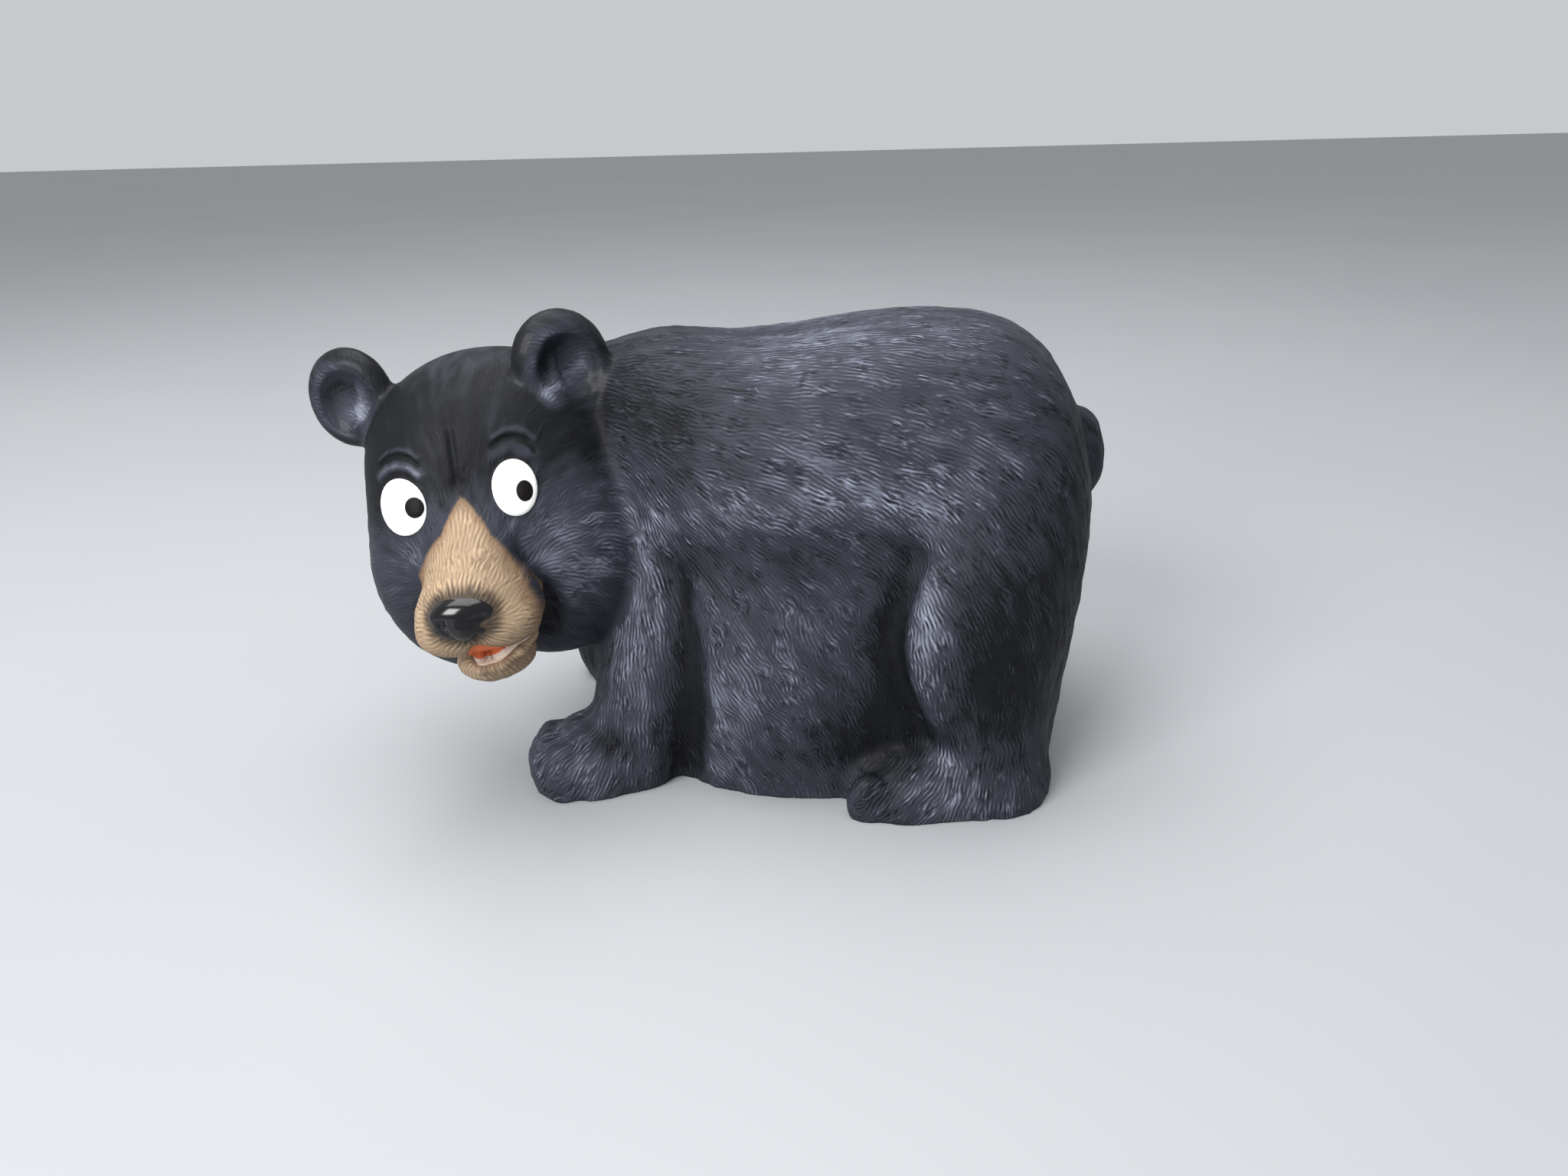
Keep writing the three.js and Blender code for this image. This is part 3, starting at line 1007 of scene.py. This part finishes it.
    def refine_face(self, obj: bpy.types.Object) -> None:
        """Halve the faces of the face, and those of the nose and the mouth once more."""
        head = self.bear.head
        for low, high in (self.face_finer, self.mouth_finer):
            bm = bmesh.new()
            bm.from_mesh(obj.data)
            bm.verts.ensure_lookup_table()
            h = head.local(np.array([v.co for v in bm.verts]))
            near = np.all((h > low) & (h < high), axis=-1)
            edges = [e for e in bm.edges if near[e.verts[0].index] and near[e.verts[1].index]]
            bmesh.ops.subdivide_edges(bm, edges=edges, cuts=1, use_grid_fill=True)
            bmesh.ops.triangulate(bm, faces=[f for f in bm.faces if len(f.verts) > 4])
            bm.to_mesh(obj.data)
            bm.free()
            places, edges = read_places(obj.data), read_edges(obj.data)
            write_places(obj.data, self.settle(self.relax(places, edges, 0.4), self.bear.form, 3))

    def hollow(self, obj: bpy.types.Object) -> None:
        """Cut away the room inside, the room for the box of tissues and what is under the floor."""
        bear = self.bear
        bm = bmesh.new()

        def within(p: Points) -> Points:
            """The room, closed a little under the floor."""
            return np.maximum(bear.room(p), -30 - p[:, 2])

        self.drawn_in(bm, within, self.core, self.start_out, 50, 5)
        bmesh.ops.recalc_face_normals(bm, faces=bm.faces)
        self.cut(obj, bm, "room")
        front, length, width, height = bear.tissue_box
        box = (Matrix.Translation((front + length / 2, 0, 0)), (length, width, height * 2))
        self.cut(obj, self.block(*box), "box_room")
        self.cut(obj, self.block(Matrix.Translation((0, 0, -30)), (700, 700, 60)), "floor")

    def block(self, place: Matrix, sizes: Triple) -> bmesh.types.BMesh:
        """A plain box for cutting."""
        bm = bmesh.new()
        bmesh.ops.create_cube(bm, size=1, matrix=place @ Matrix.Diagonal((*sizes, 1)))
        return bm

    def cut(self, obj: bpy.types.Object, bm: bmesh.types.BMesh, name: str) -> None:
        """Subtract a closed bmesh from an object."""
        cutter = self.mesh_object(bm, name)
        self.apply(obj, "BOOLEAN", object=cutter, operation="DIFFERENCE", solver="MANIFOLD")
        bpy.data.objects.remove(cutter)

    def mesh_object(self, bm: bmesh.types.BMesh, name: str) -> bpy.types.Object:
        """Link a bmesh to the scene as an object."""
        mesh = bpy.data.meshes.new(name)
        bm.to_mesh(mesh)
        bm.free()
        obj = bpy.data.objects.new(name, mesh)
        bpy.context.scene.collection.objects.link(obj)
        return obj

    def apply(self, obj: bpy.types.Object, kind: str, **settings: object) -> None:
        """Run one modifier and keep its result."""
        modifier = obj.modifiers.new(kind.lower(), kind)
        for name, value in settings.items():
            setattr(modifier, name, value)
        graph = bpy.context.evaluated_depsgraph_get()
        made = bpy.data.meshes.new_from_object(obj.evaluated_get(graph))
        obj.modifiers.clear()
        old, obj.data = obj.data, made
        bpy.data.meshes.remove(old)


def read_places(mesh: bpy.types.Mesh) -> Points:
    """A mesh's points as an array."""
    flat = np.empty(len(mesh.vertices) * 3, np.float32)
    mesh.vertices.foreach_get("co", flat)
    return flat.reshape(-1, 3).astype(float)


def read_edges(mesh: bpy.types.Mesh) -> Points:
    """A mesh's edges as pairs of point numbers."""
    flat = np.empty(len(mesh.edges) * 2, np.int32)
    mesh.edges.foreach_get("vertices", flat)
    return flat.reshape(-1, 2)


def write_places(mesh: bpy.types.Mesh, places: Points) -> None:
    """Put an array of points into a mesh."""
    mesh.vertices.foreach_set("co", places.astype(np.float32).ravel())
    mesh.update()


def write_attribute(mesh: bpy.types.Mesh, name: str, values: Points) -> None:
    """Keep a number or a vector for each point of a mesh."""
    kind, key = ("FLOAT", "value") if values.ndim == 1 else ("FLOAT_VECTOR", "vector")
    made = mesh.attributes.new(name, kind, "POINT")
    made.data.foreach_set(key, values.astype(np.float32).ravel())


class PaintMap:
    """Works out where each paint goes, as attributes on the finished mesh."""

    def __init__(self, bear: Bear) -> None:
        """Keep the bear that is painted."""
        self.bear = bear

    def write(self, mesh: bpy.types.Mesh) -> None:
        """Write the attributes and give the inside its own material slot."""
        bear, head = self.bear, self.bear.head
        places = read_places(mesh)
        normal = outward(bear.form, places)
        lay = bear.lay(places, normal)
        h = head.local(places)
        skin = head.skin(h)
        write_attribute(mesh, "nose", np.where(skin < 8, head.nose_lump(h) - np.maximum(skin, 0), 8.0))
        write_attribute(mesh, "tongue", head.tongue_gap(h))
        write_attribute(mesh, "gum", head.mouth_gap(h))
        write_attribute(mesh, "ear", 1 - ease(np.minimum(*(ear.form(h) for ear in head.ears)), 0.5, 4))
        write_attribute(mesh, "eye", np.minimum(*(eye.beyond(h) for eye in head.eyes)))
        write_attribute(mesh, "calm", bear.bare(places))
        pupils = np.minimum(*(eye.pupil_gap(h) for eye in head.eyes))
        write_attribute(mesh, "pupil", pupils)
        write_attribute(mesh, "tan", head.tan_gap(h))
        stray = self.stray(places, head.skull(h))
        combed = lay * np.cos(stray)[:, None] + np.cross(normal, lay) * np.sin(stray)[:, None]
        write_attribute(mesh, "lay", combed)
        write_attribute(mesh, "part", unit(np.cross(normal, combed)))
        write_attribute(mesh, "tuft", 0.5 + 0.4 * bear.tufts(places, lay))
        # brush carries the dry brush, and painted light and shade on the muzzle and in the ears' bowls; shade
        # carries painted shade.
        brush, shade = self.brush(places, h)
        write_attribute(mesh, "brush", brush)
        write_attribute(mesh, "shade", shade)
        self.part_inside(mesh, bear)
        place = (places - ORIGIN) * MM
        write_places(mesh, place)

    def stray(self, p: Points, skull: Points) -> Points:
        """The angle by which the strokes stray from the fur's way: most on the belly and the face."""
        low = ease(-p[:, 2], -100, -80) * ease(p[:, 0], -30, -20) * ease(-p[:, 0], -60, -50)
        loose = 0.45 + 0.5 * low + 0.35 * (1 - ease(skull, 1, 5))
        return loose * (lattice_noise(p / 6.5, 5) + 0.35 * lattice_noise(p / 3.2, 6))

    def part_inside(self, mesh: bpy.types.Mesh, bear: Bear) -> None:
        """Give the faces of the hollow and of the rim the second material slot."""
        centres = np.empty(len(mesh.polygons) * 3, np.float32)
        mesh.polygons.foreach_get("center", centres)
        deep = bear.form(centres.reshape(-1, 3).astype(float)) < -1.6
        mesh.polygons.foreach_set("material_index", deep.astype(np.int32))
        mesh.polygons.foreach_set("use_smooth", np.ones(len(deep), bool))

    def brush(self, p: Points, h: Points) -> tuple[Points, Points]:
        """How much dry-brushed grey and painted light, and how much painted shade, each point has.

        Args:
            p: Points in the bear's axes.
            h: The same points in the head's axes.

        Returns:
            The dry brush with the painted light, below zero where it is left out, and the painted shade, each
            up to about 1.
        """
        q = to_left(p)
        crease = self.bear.grooves(q)
        # Painted shade darkens the body's creases, and the dry brush lightens their ridges.
        light = sum(dab.at(q) for dab in BODY_DABS) + 0.14 * np.maximum(-crease, 0)
        dark = sum(dab.at(q) for dab in BODY_SHADES) + 0.15 * np.maximum(crease, 0)
        head = self.bear.head
        on_head = 1 - ease(head.skull(h), 1, 5)
        # On the muzzle this is painted light and shade; elsewhere on the head it is dry brush.
        face = np.where(head.tan_gap(h) < 0, self.muzzle_light_and_shade(h), self.on_face(h))
        brow, valley, crease = head.brows(h), head.valleys(h), head.forehead(h)
        # Painted shade in the folds of the brow, the valleys beside the muzzle and the forehead's crease; dry
        # brush on the brow's ridges.
        light = light * (1 - on_head) + (face + 1.3 * np.maximum(-brow, 0)) * on_head
        dark = dark * (1 - on_head) + (1.4 * np.maximum(brow, 0) + valley / 5 + crease) * on_head
        for ear in head.ears:
            near = 1 - ease(ear.form(h), 0.5, 3)
            lit, shaded = self.on_ear(ear, h)
            light = light * (1 - near) + near * lit
            dark = dark * (1 - near) + near * shaded
        return np.clip(light, -0.9, 1.3), np.clip(dark, 0, 1.4)

    def on_face(self, h: Points) -> Points:
        """The dry brush on the black of the head: least on the crown's middle and on the right side."""
        face = 1.15 * ease(-h[:, 2], -24, 10) - 0.4 * ease(-h[:, 2], 22, 50) - 0.8
        face += 0.4 * ease(h[:, 2], 40, 62) - 0.35 * ease(-h[:, 0], 12, 34)
        return face

    def muzzle_light_and_shade(self, h: Points) -> Points:
        """Painted light and shade on the muzzle's tan, as more or less cream: most on its left half, and
        little on its bridge and on its right side.
        """
        return 0.9 * ease(h[:, 0], -6, 20) - 0.9 * ease(h[:, 2], -26, 2) - 0.5 * ease(-h[:, 0], 10, 24)

    def on_ear(self, ear: Ear, h: Points) -> tuple[Points, Points]:
        """The dry brush on an ear's rim and root, painted light on the lit side of its bowl, and painted
        shade on its back and in its bowl, deepest on the bowl's other side.
        """
        q = ear.local(h)
        front = ease(q[:, 1], -3, 2)
        ring = np.hypot(q[:, 0] / 14, (q[:, 2] + 1) / 15)
        turn = np.arctan2(q[:, 2] + 1, q[:, 0])
        rim = bell(ring, 0.88, 0.2) * (0.55 - 0.45 * np.cos(turn + math.radians(45)))
        bowl = 1 - ease(ring, 0.55, 0.85)
        # Painted light: one side of the bowl is painted lit and the other side shaded.
        lit = 0.5 + 0.5 * np.cos(turn + math.radians(40)) * ease(ring, 0, 0.5)
        root = bell(q[:, 0] * ear.side, -11, 6) * bell(q[:, 2], -13, 6)
        light = front * (1.0 * rim + 1.1 * root + 1.5 * bowl * lit)
        return light, 0.6 - 0.3 * bowl + 0.5 * front * bowl * (1 - lit)


class Socket(Enum):
    """Sockets of the Mix node, which share names between kinds."""

    MIX_FACTOR = 0
    MIX_A = 6
    MIX_B = 7
    MIX_RESULT = 2


@dataclass
class Graph:
    """A short way to write a material's nodes."""

    tree: bpy.types.NodeTree

    def node(self, kind: str, **settings: object) -> bpy.types.Node:
        """Add a node and set its options."""
        made = self.tree.nodes.new("ShaderNode" + kind)
        for name, value in settings.items():
            setattr(made, name, value)
        return made

    def feed(self, socket: bpy.types.NodeSocket, value: object) -> None:
        """Link a socket to a source, or set its value."""
        if isinstance(value, bpy.types.NodeSocket):
            self.tree.links.new(value, socket)
        else:
            socket.default_value = value

    def attribute(self, name: str, vector: bool = False) -> bpy.types.NodeSocket:
        """Read one of the mesh's own attributes."""
        made = self.node("Attribute", attribute_name=name)
        return made.outputs["Vector" if vector else "Fac"]

    def maths(self, operation: str, a: object, b: object = 0.0) -> bpy.types.NodeSocket:
        """One step of arithmetic."""
        made = self.node("Math", operation=operation)
        self.feed(made.inputs[0], a)
        self.feed(made.inputs[1], b)
        return made.outputs[0]

    def vectors(self, operation: str, a: object, b: object = (0, 0, 0)) -> bpy.types.NodeSocket:
        """One step of vector arithmetic."""
        made = self.node("VectorMath", operation=operation)
        self.feed(made.inputs[0], a)
        self.feed(made.inputs[1], b)
        return made.outputs["Value" if operation == "DOT_PRODUCT" else "Vector"]

    def ramp(self, value: object, low: float, high: float, start: float = 0.0, end: float = 1.0,
             smooth: bool = True) -> bpy.types.NodeSocket:
        """Take a range of values to another range."""
        made = self.node("MapRange", interpolation_type="SMOOTHSTEP" if smooth else "LINEAR")
        for socket, number in zip(made.inputs, (value, low, high, start, end)):
            self.feed(socket, number)
        return made.outputs[0]

    def mix(self, factor: object, a: object, b: object) -> bpy.types.NodeSocket:
        """Blend two colours."""
        made = self.node("Mix", data_type="RGBA")
        self.feed(made.inputs[Socket.MIX_FACTOR.value], factor)
        self.feed(made.inputs[Socket.MIX_A.value], a)
        self.feed(made.inputs[Socket.MIX_B.value], b)
        return made.outputs[Socket.MIX_RESULT.value]

    def noise(self, vector: object, scale: float, detail: float = 2.0,
              rough: float = 0.5) -> bpy.types.NodeSocket:
        """Noise in three dimensions."""
        made = self.node("TexNoise")
        self.feed(made.inputs["Vector"], vector)
        self.feed(made.inputs["Scale"], scale)
        self.feed(made.inputs["Detail"], detail)
        self.feed(made.inputs["Roughness"], rough)
        return made.outputs["Fac"]


def colour(red: float, green: float, blue: float) -> tuple[float, float, float, float]:
    """A screen colour, 0 to 255 a channel, as the linear colour that a shader takes."""
    linear = [((c / 255 + 0.055) / 1.055) ** 2.4 for c in (red, green, blue)]
    return (*linear, 1.0)


@dataclass(frozen=True)
class HandPaint:
    """The hand-painted outside: bluish black fur, dry-brushed grey, the face's own colours, and painted light
    and shade: darker creases and hollows, and lighter patches in the ears' bowls and on the muzzle.
    """

    name: str = "painted_resin"
    black: tuple = colour(45, 47, 55)
    # deep is the darkest paint of the head and of the nose's halo, and also the painted shade in the fur's
    # creases and hollows.
    deep: tuple = colour(16, 17, 20)
    grey: tuple = colour(128, 131, 146)
    tan: tuple = colour(116, 98, 80)
    cream: tuple = colour(168, 145, 119)
    umber: tuple = colour(104, 80, 60)
    white: tuple = colour(232, 231, 229)
    teeth: tuple = colour(204, 193, 180)
    pupil: tuple = colour(10, 6, 6)
    nose: tuple = colour(7, 7, 9)
    tongue: tuple = colour(204, 106, 68)
    sheen: float = 0.12
    varnish_roughness: float = 0.16
    stroke_length: float = 0.0045
    stroke_width: float = 0.00095
    stroke_height: float = 0.0015
    stroke_share: float = 0.8
    lock_share: float = 0.4
    patch: float = 0.011
    lock: float = 0.0048
    groove: float = 0.0016

    def strokes(self, g: Graph, lay: object, part: object) -> tuple:
        """Short strokes that follow the fur, drawn patch by patch.

        Each patch has its own middle, from which the stroke noise is measured along and across the fur.

        Args:
            g: The graph that is written.
            lay: The fur's way along the skin.
            part: The way across it.

        Returns:
            The stroke noise about zero, and its weight, which fades towards the patch's edge.
        """
        place = g.node("TexCoord").outputs["Object"]
        cells = g.node("TexVoronoi", feature="F1")
        g.feed(cells.inputs["Vector"], place)
        g.feed(cells.inputs["Scale"], 1 / self.patch)
        edge = g.node("TexVoronoi", feature="DISTANCE_TO_EDGE")
        g.feed(edge.inputs["Vector"], place)
        g.feed(edge.inputs["Scale"], 1 / self.patch)
        offset = g.vectors("SUBTRACT", place, cells.outputs["Position"])
        along = g.maths("DIVIDE", g.vectors("DOT_PRODUCT", offset, lay), self.stroke_length)
        across = g.maths("DIVIDE", g.vectors("DOT_PRODUCT", offset, part), self.stroke_width)
        pair = g.node("CombineXYZ")
        g.feed(pair.inputs[0], along)
        g.feed(pair.inputs[1], across)
        spread = g.vectors("MULTIPLY", cells.outputs["Color"], (37, 41, 43))
        hairs = g.noise(g.vectors("ADD", pair.outputs[0], spread), 1.0, 2.0, 0.55)
        weight = g.ramp(edge.outputs["Distance"], 0.0, 0.3, 0.02, 1.0)
        return g.maths("SUBTRACT", hairs, 0.5), weight

    def carved(self, g: Graph, part: object) -> bpy.types.NodeSocket:
        """Locks of side-by-side grooves that are cut across the given way: a value about zero."""
        locks = g.node("TexGabor", gabor_type="3D")
        g.feed(locks.inputs["Vector"], g.node("TexCoord").outputs["Object"])
        g.feed(locks.inputs["Scale"], 1 / self.lock)
        g.feed(locks.inputs["Frequency"], self.lock / self.groove)
        g.feed(locks.inputs["Anisotropy"], 1.0)
        way = next(s for s in locks.inputs if s.name == "Orientation" and s.type == "VECTOR")
        g.feed(way, part)
        return g.maths("SUBTRACT", locks.outputs["Value"], 0.5)

    def fur(self, g: Graph, hairs: object, wild: object) -> bpy.types.NodeSocket:
        """The fur's colour, from nearly black where shade is painted into the hollows, over bluish black to
        dry-brushed grey and painted light.
        """
        brush, shade = g.attribute("brush"), g.attribute("shade")
        cloud = g.noise(g.node("TexCoord").outputs["Object"], 55.0, 3.0, 0.6)
        eager = g.maths("ADD", g.maths("MULTIPLY", brush, 2.8), 2.3)
        tone = g.maths("MULTIPLY", hairs, g.maths("MULTIPLY", wild, eager))
        # Painted shade: the shade attribute darkens the tone towards nearly black; the brush attribute
        # lightens it with dry brush and painted light.
        swings = ((g.attribute("tuft"), 0.5, 0.45), (cloud, 0.5, 0.6), (brush, shade, 0.7))
        for source, middle, share in swings:
            swing = g.maths("MULTIPLY", g.maths("SUBTRACT", source, middle), share)
            tone = g.maths("ADD", tone, swing)
        coat = g.mix(g.ramp(tone, -0.6, 0.1), self.deep, self.black)
        return g.mix(g.ramp(tone, 0.05, 1.2), coat, self.grey)

    def muzzle(self, g: Graph, hairs: object, tan_gap: object, nose_gap: object) -> bpy.types.NodeSocket:
        """The muzzle's colour: cream flecks on tan, thicker where light is painted on and thinner where shade
        is painted on, umber at its edge, and a dark halo round the nose.
        """
        # Painted light and shade: the cream flecks follow the brush and shade attributes, which on the muzzle
        # hold painted light and painted shade.
        light_and_shade = g.maths("MULTIPLY", g.maths("SUBTRACT", g.attribute("brush"), g.attribute("shade")), 0.14)
        fleck = g.ramp(g.maths("ADD", hairs, light_and_shade), -0.15, 0.19)
        muzzle = g.mix(fleck, self.tan, self.cream)
        muzzle = g.mix(g.ramp(tan_gap, -4.0, 0.5, 0.0, 0.7), muzzle, self.umber)
        halo = g.maths("ADD", nose_gap, g.maths("MULTIPLY", hairs, 4.0))
        return g.mix(g.ramp(halo, 0.5, 5.0, 0.8, 0.0), muzzle, self.deep)

    def features(self, g: Graph, coat: object, eye_mask: object, nose_mask: object) -> bpy.types.NodeSocket:
        """The mouth, the eyes and the nose, painted over the coat."""
        lip = g.attribute("gum")
        # Umber round the smile: partly the lip's own paint, partly painted shade in the crease under the
        # teeth.
        paint = g.mix(g.ramp(lip, 0.1, 2.2, 0.7, 0.0), coat, self.umber)
        paint = g.mix(g.ramp(lip, -0.35, 0.0), self.teeth, paint)
        paint = g.mix(g.ramp(g.attribute("tongue"), -0.15, 0.15), self.tongue, paint)
        eye = g.mix(g.ramp(g.attribute("pupil"), -0.15, 0.15), self.pupil, self.white)
        paint = g.mix(eye_mask, eye, paint)
        return g.mix(nose_mask, self.nose, paint)

    def make(self) -> bpy.types.Material:
        """Build the material."""
        material = bpy.data.materials.new(self.name)
        material.use_nodes = True
        material.node_tree.nodes.clear()
        g = Graph(material.node_tree)
        shader = g.node("BsdfPrincipled")
        g.feed(g.node("OutputMaterial").inputs[0], shader.outputs[0])
        part = g.attribute("part", True)
        brushed, weight = self.strokes(g, g.attribute("lay", True), part)
        brushed = g.maths("MULTIPLY", g.maths("MULTIPLY", brushed, weight), self.stroke_share)
        hairs = g.maths("ADD", brushed, g.maths("MULTIPLY", self.carved(g, part), self.lock_share))
        wild = g.ramp(g.attribute("calm"), 0.0, 1.0, 1.0, 0.15, smooth=False)

        tan_gap, nose_gap = g.attribute("tan"), g.attribute("nose")
        eye_mask = g.ramp(g.attribute("eye"), -0.12, 0.12)
        nose_mask = g.ramp(nose_gap, -0.15, 0.15)
        ragged = g.maths("ADD", tan_gap, g.maths("MULTIPLY", hairs, 3.0))
        muzzle, fur = self.muzzle(g, hairs, tan_gap, nose_gap), self.fur(g, hairs, wild)
        coat = g.mix(g.ramp(ragged, -0.7, 0.7), muzzle, fur)
        g.feed(shader.inputs["Base Color"], self.features(g, coat, eye_mask, nose_mask))

        rough = g.ramp(hairs, -0.3, 0.3, 0.64, 0.5)
        g.feed(shader.inputs["Roughness"], g.maths("MULTIPLY", rough, g.ramp(nose_mask, 0, 1, 0.3, 1.0)))
        shader.inputs["Specular IOR Level"].default_value = self.sheen
        ear_gloss = g.ramp(g.attribute("ear"), 0, 1, 0.0, 0.07)
        varnish = g.maths("ADD", g.ramp(nose_mask, 0, 1, 0.6, 0.0), ear_gloss)
        g.feed(shader.inputs["Coat Weight"], varnish)
        shader.inputs["Coat Roughness"].default_value = self.varnish_roughness

        bump = g.node("Bump")
        bump.inputs["Strength"].default_value = 1.0
        bump.inputs["Distance"].default_value = self.stroke_height
        smooth = g.maths("MULTIPLY", g.maths("MULTIPLY", eye_mask, nose_mask), wild)
        g.feed(bump.inputs["Height"], g.maths("MULTIPLY", brushed, smooth))
        g.feed(shader.inputs["Normal"], bump.outputs[0])
        return material


@dataclass(frozen=True)
class BareInside:
    """The unpainted inside of the casting and its rim: dull dark resin, a little uneven."""

    name: str = "bare_resin_inside"
    dark: tuple = colour(58, 56, 54)
    light: tuple = colour(84, 81, 77)

    def make(self) -> bpy.types.Material:
        """Build the material."""
        material = bpy.data.materials.new(self.name)
        material.use_nodes = True
        g = Graph(material.node_tree)
        shader = material.node_tree.nodes["Principled BSDF"]
        place = g.node("TexCoord").outputs["Object"]
        cloud = g.noise(place, 90.0, 4.0, 0.6)
        g.feed(shader.inputs["Base Color"], g.mix(g.ramp(cloud, 0.3, 0.7), self.dark, self.light))
        g.feed(shader.inputs["Roughness"], g.ramp(cloud, 0.2, 0.8, 0.7, 0.85))
        bump = g.node("Bump")
        bump.inputs["Distance"].default_value = 0.0006
        g.feed(bump.inputs["Height"], cloud)
        g.feed(shader.inputs["Normal"], bump.outputs[0])
        return material


@dataclass(frozen=True)
class Studio:
    """A pale floor, soft light and the camera at the photograph's viewing angle."""

    camera_place: Triple = (0.06826, -0.44092, 0.261)
    azimuth: float = 5.0
    pitch: float = 23.32
    roll: float = 1.66
    lens: float = 26.03

    def camera(self) -> None:
        """Place the camera."""
        a, e, r = (math.radians(v) for v in (self.azimuth, self.pitch, self.roll))
        ahead = Vector((-math.sin(a) * math.cos(e), math.cos(a) * math.cos(e), -math.sin(e)))
        right = Vector((math.cos(a), math.sin(a), 0))
        up = right.cross(ahead)
        turned_right = right * math.cos(r) - up * math.sin(r)
        turned_up = up * math.cos(r) + right * math.sin(r)
        data = bpy.data.cameras.new("camera")
        data.lens = self.lens
        data.clip_start = 0.01
        obj = bpy.data.objects.new("camera", data)
        turn = Matrix((turned_right, turned_up, -ahead)).transposed().to_4x4()
        obj.matrix_world = Matrix.Translation(self.camera_place) @ turn
        bpy.context.scene.collection.objects.link(obj)
        bpy.context.scene.camera = obj

    def floor(self) -> None:
        """Make a pale floor."""
        bm = bmesh.new()
        bmesh.ops.create_grid(bm, x_segments=2, y_segments=2, size=6)
        mesh = bpy.data.meshes.new("floor")
        bm.to_mesh(mesh)
        bm.free()
        floor = bpy.data.objects.new("floor", mesh)
        bpy.context.scene.collection.objects.link(floor)
        material = bpy.data.materials.new("pale_floor")
        material.use_nodes = True
        g = Graph(material.node_tree)
        shader = material.node_tree.nodes["Principled BSDF"]
        cloud = g.noise(g.node("TexCoord").outputs["Object"], 3.0)
        g.feed(shader.inputs["Base Color"], g.mix(cloud, colour(150, 152, 155), colour(158, 160, 162)))
        shader.inputs["Roughness"].default_value = 0.5
        mesh.materials.append(material)

    def lamp(self, name: str, place: Triple, target: Triple, width: float, watts: float) -> None:
        """Add a soft lamp that faces a target."""
        data = bpy.data.lights.new(name, "AREA")
        data.size = width
        data.energy = watts
        obj = bpy.data.objects.new(name, data)
        obj.location = place
        obj.rotation_mode = "QUATERNION"
        obj.rotation_quaternion = (Vector(target) - Vector(place)).to_track_quat("-Z", "Y")
        bpy.context.scene.collection.objects.link(obj)

    def light(self) -> None:
        """Light the scene softly from above, the left and the front."""
        self.lamp("overhead", (-0.2, 0.1, 1.5), (0, 0, 0.1), 1.4, 28)
        self.lamp("window", (-0.85, -1.3, 1.1), (0, 0, 0.1), 0.9, 44)
        world = bpy.data.worlds.new("world")
        world.use_nodes = True
        background = world.node_tree.nodes["Background"]
        background.inputs["Color"].default_value = colour(214, 216, 220)
        background.inputs["Strength"].default_value = 0.85
        scene = bpy.context.scene
        scene.world = world
        scene.view_settings.view_transform = "Standard"


def main() -> None:
    """Build the bear, dress it and light it, and log its triangle count."""
    logging.basicConfig(level=logging.INFO, format="%(name)s: %(message)s")
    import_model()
    bear = Bear()
    casting = SkinMaker(bear).make()
    casting.name = casting.data.name = bear.name
    casting.data.materials.clear()
    casting.data.materials.append(HandPaint().make())
    casting.data.materials.append(BareInside().make())
    PaintMap(bear).write(casting.data)
    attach(casting, "root")
    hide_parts(bear.node)
    triangles = sum(len(polygon.vertices) - 2 for polygon in casting.data.polygons)
    LOG.info("%s: %d triangles", casting.name, triangles)
    studio = Studio()
    studio.floor()
    studio.light()
    studio.camera()


if __name__ == "__main__":
    main()
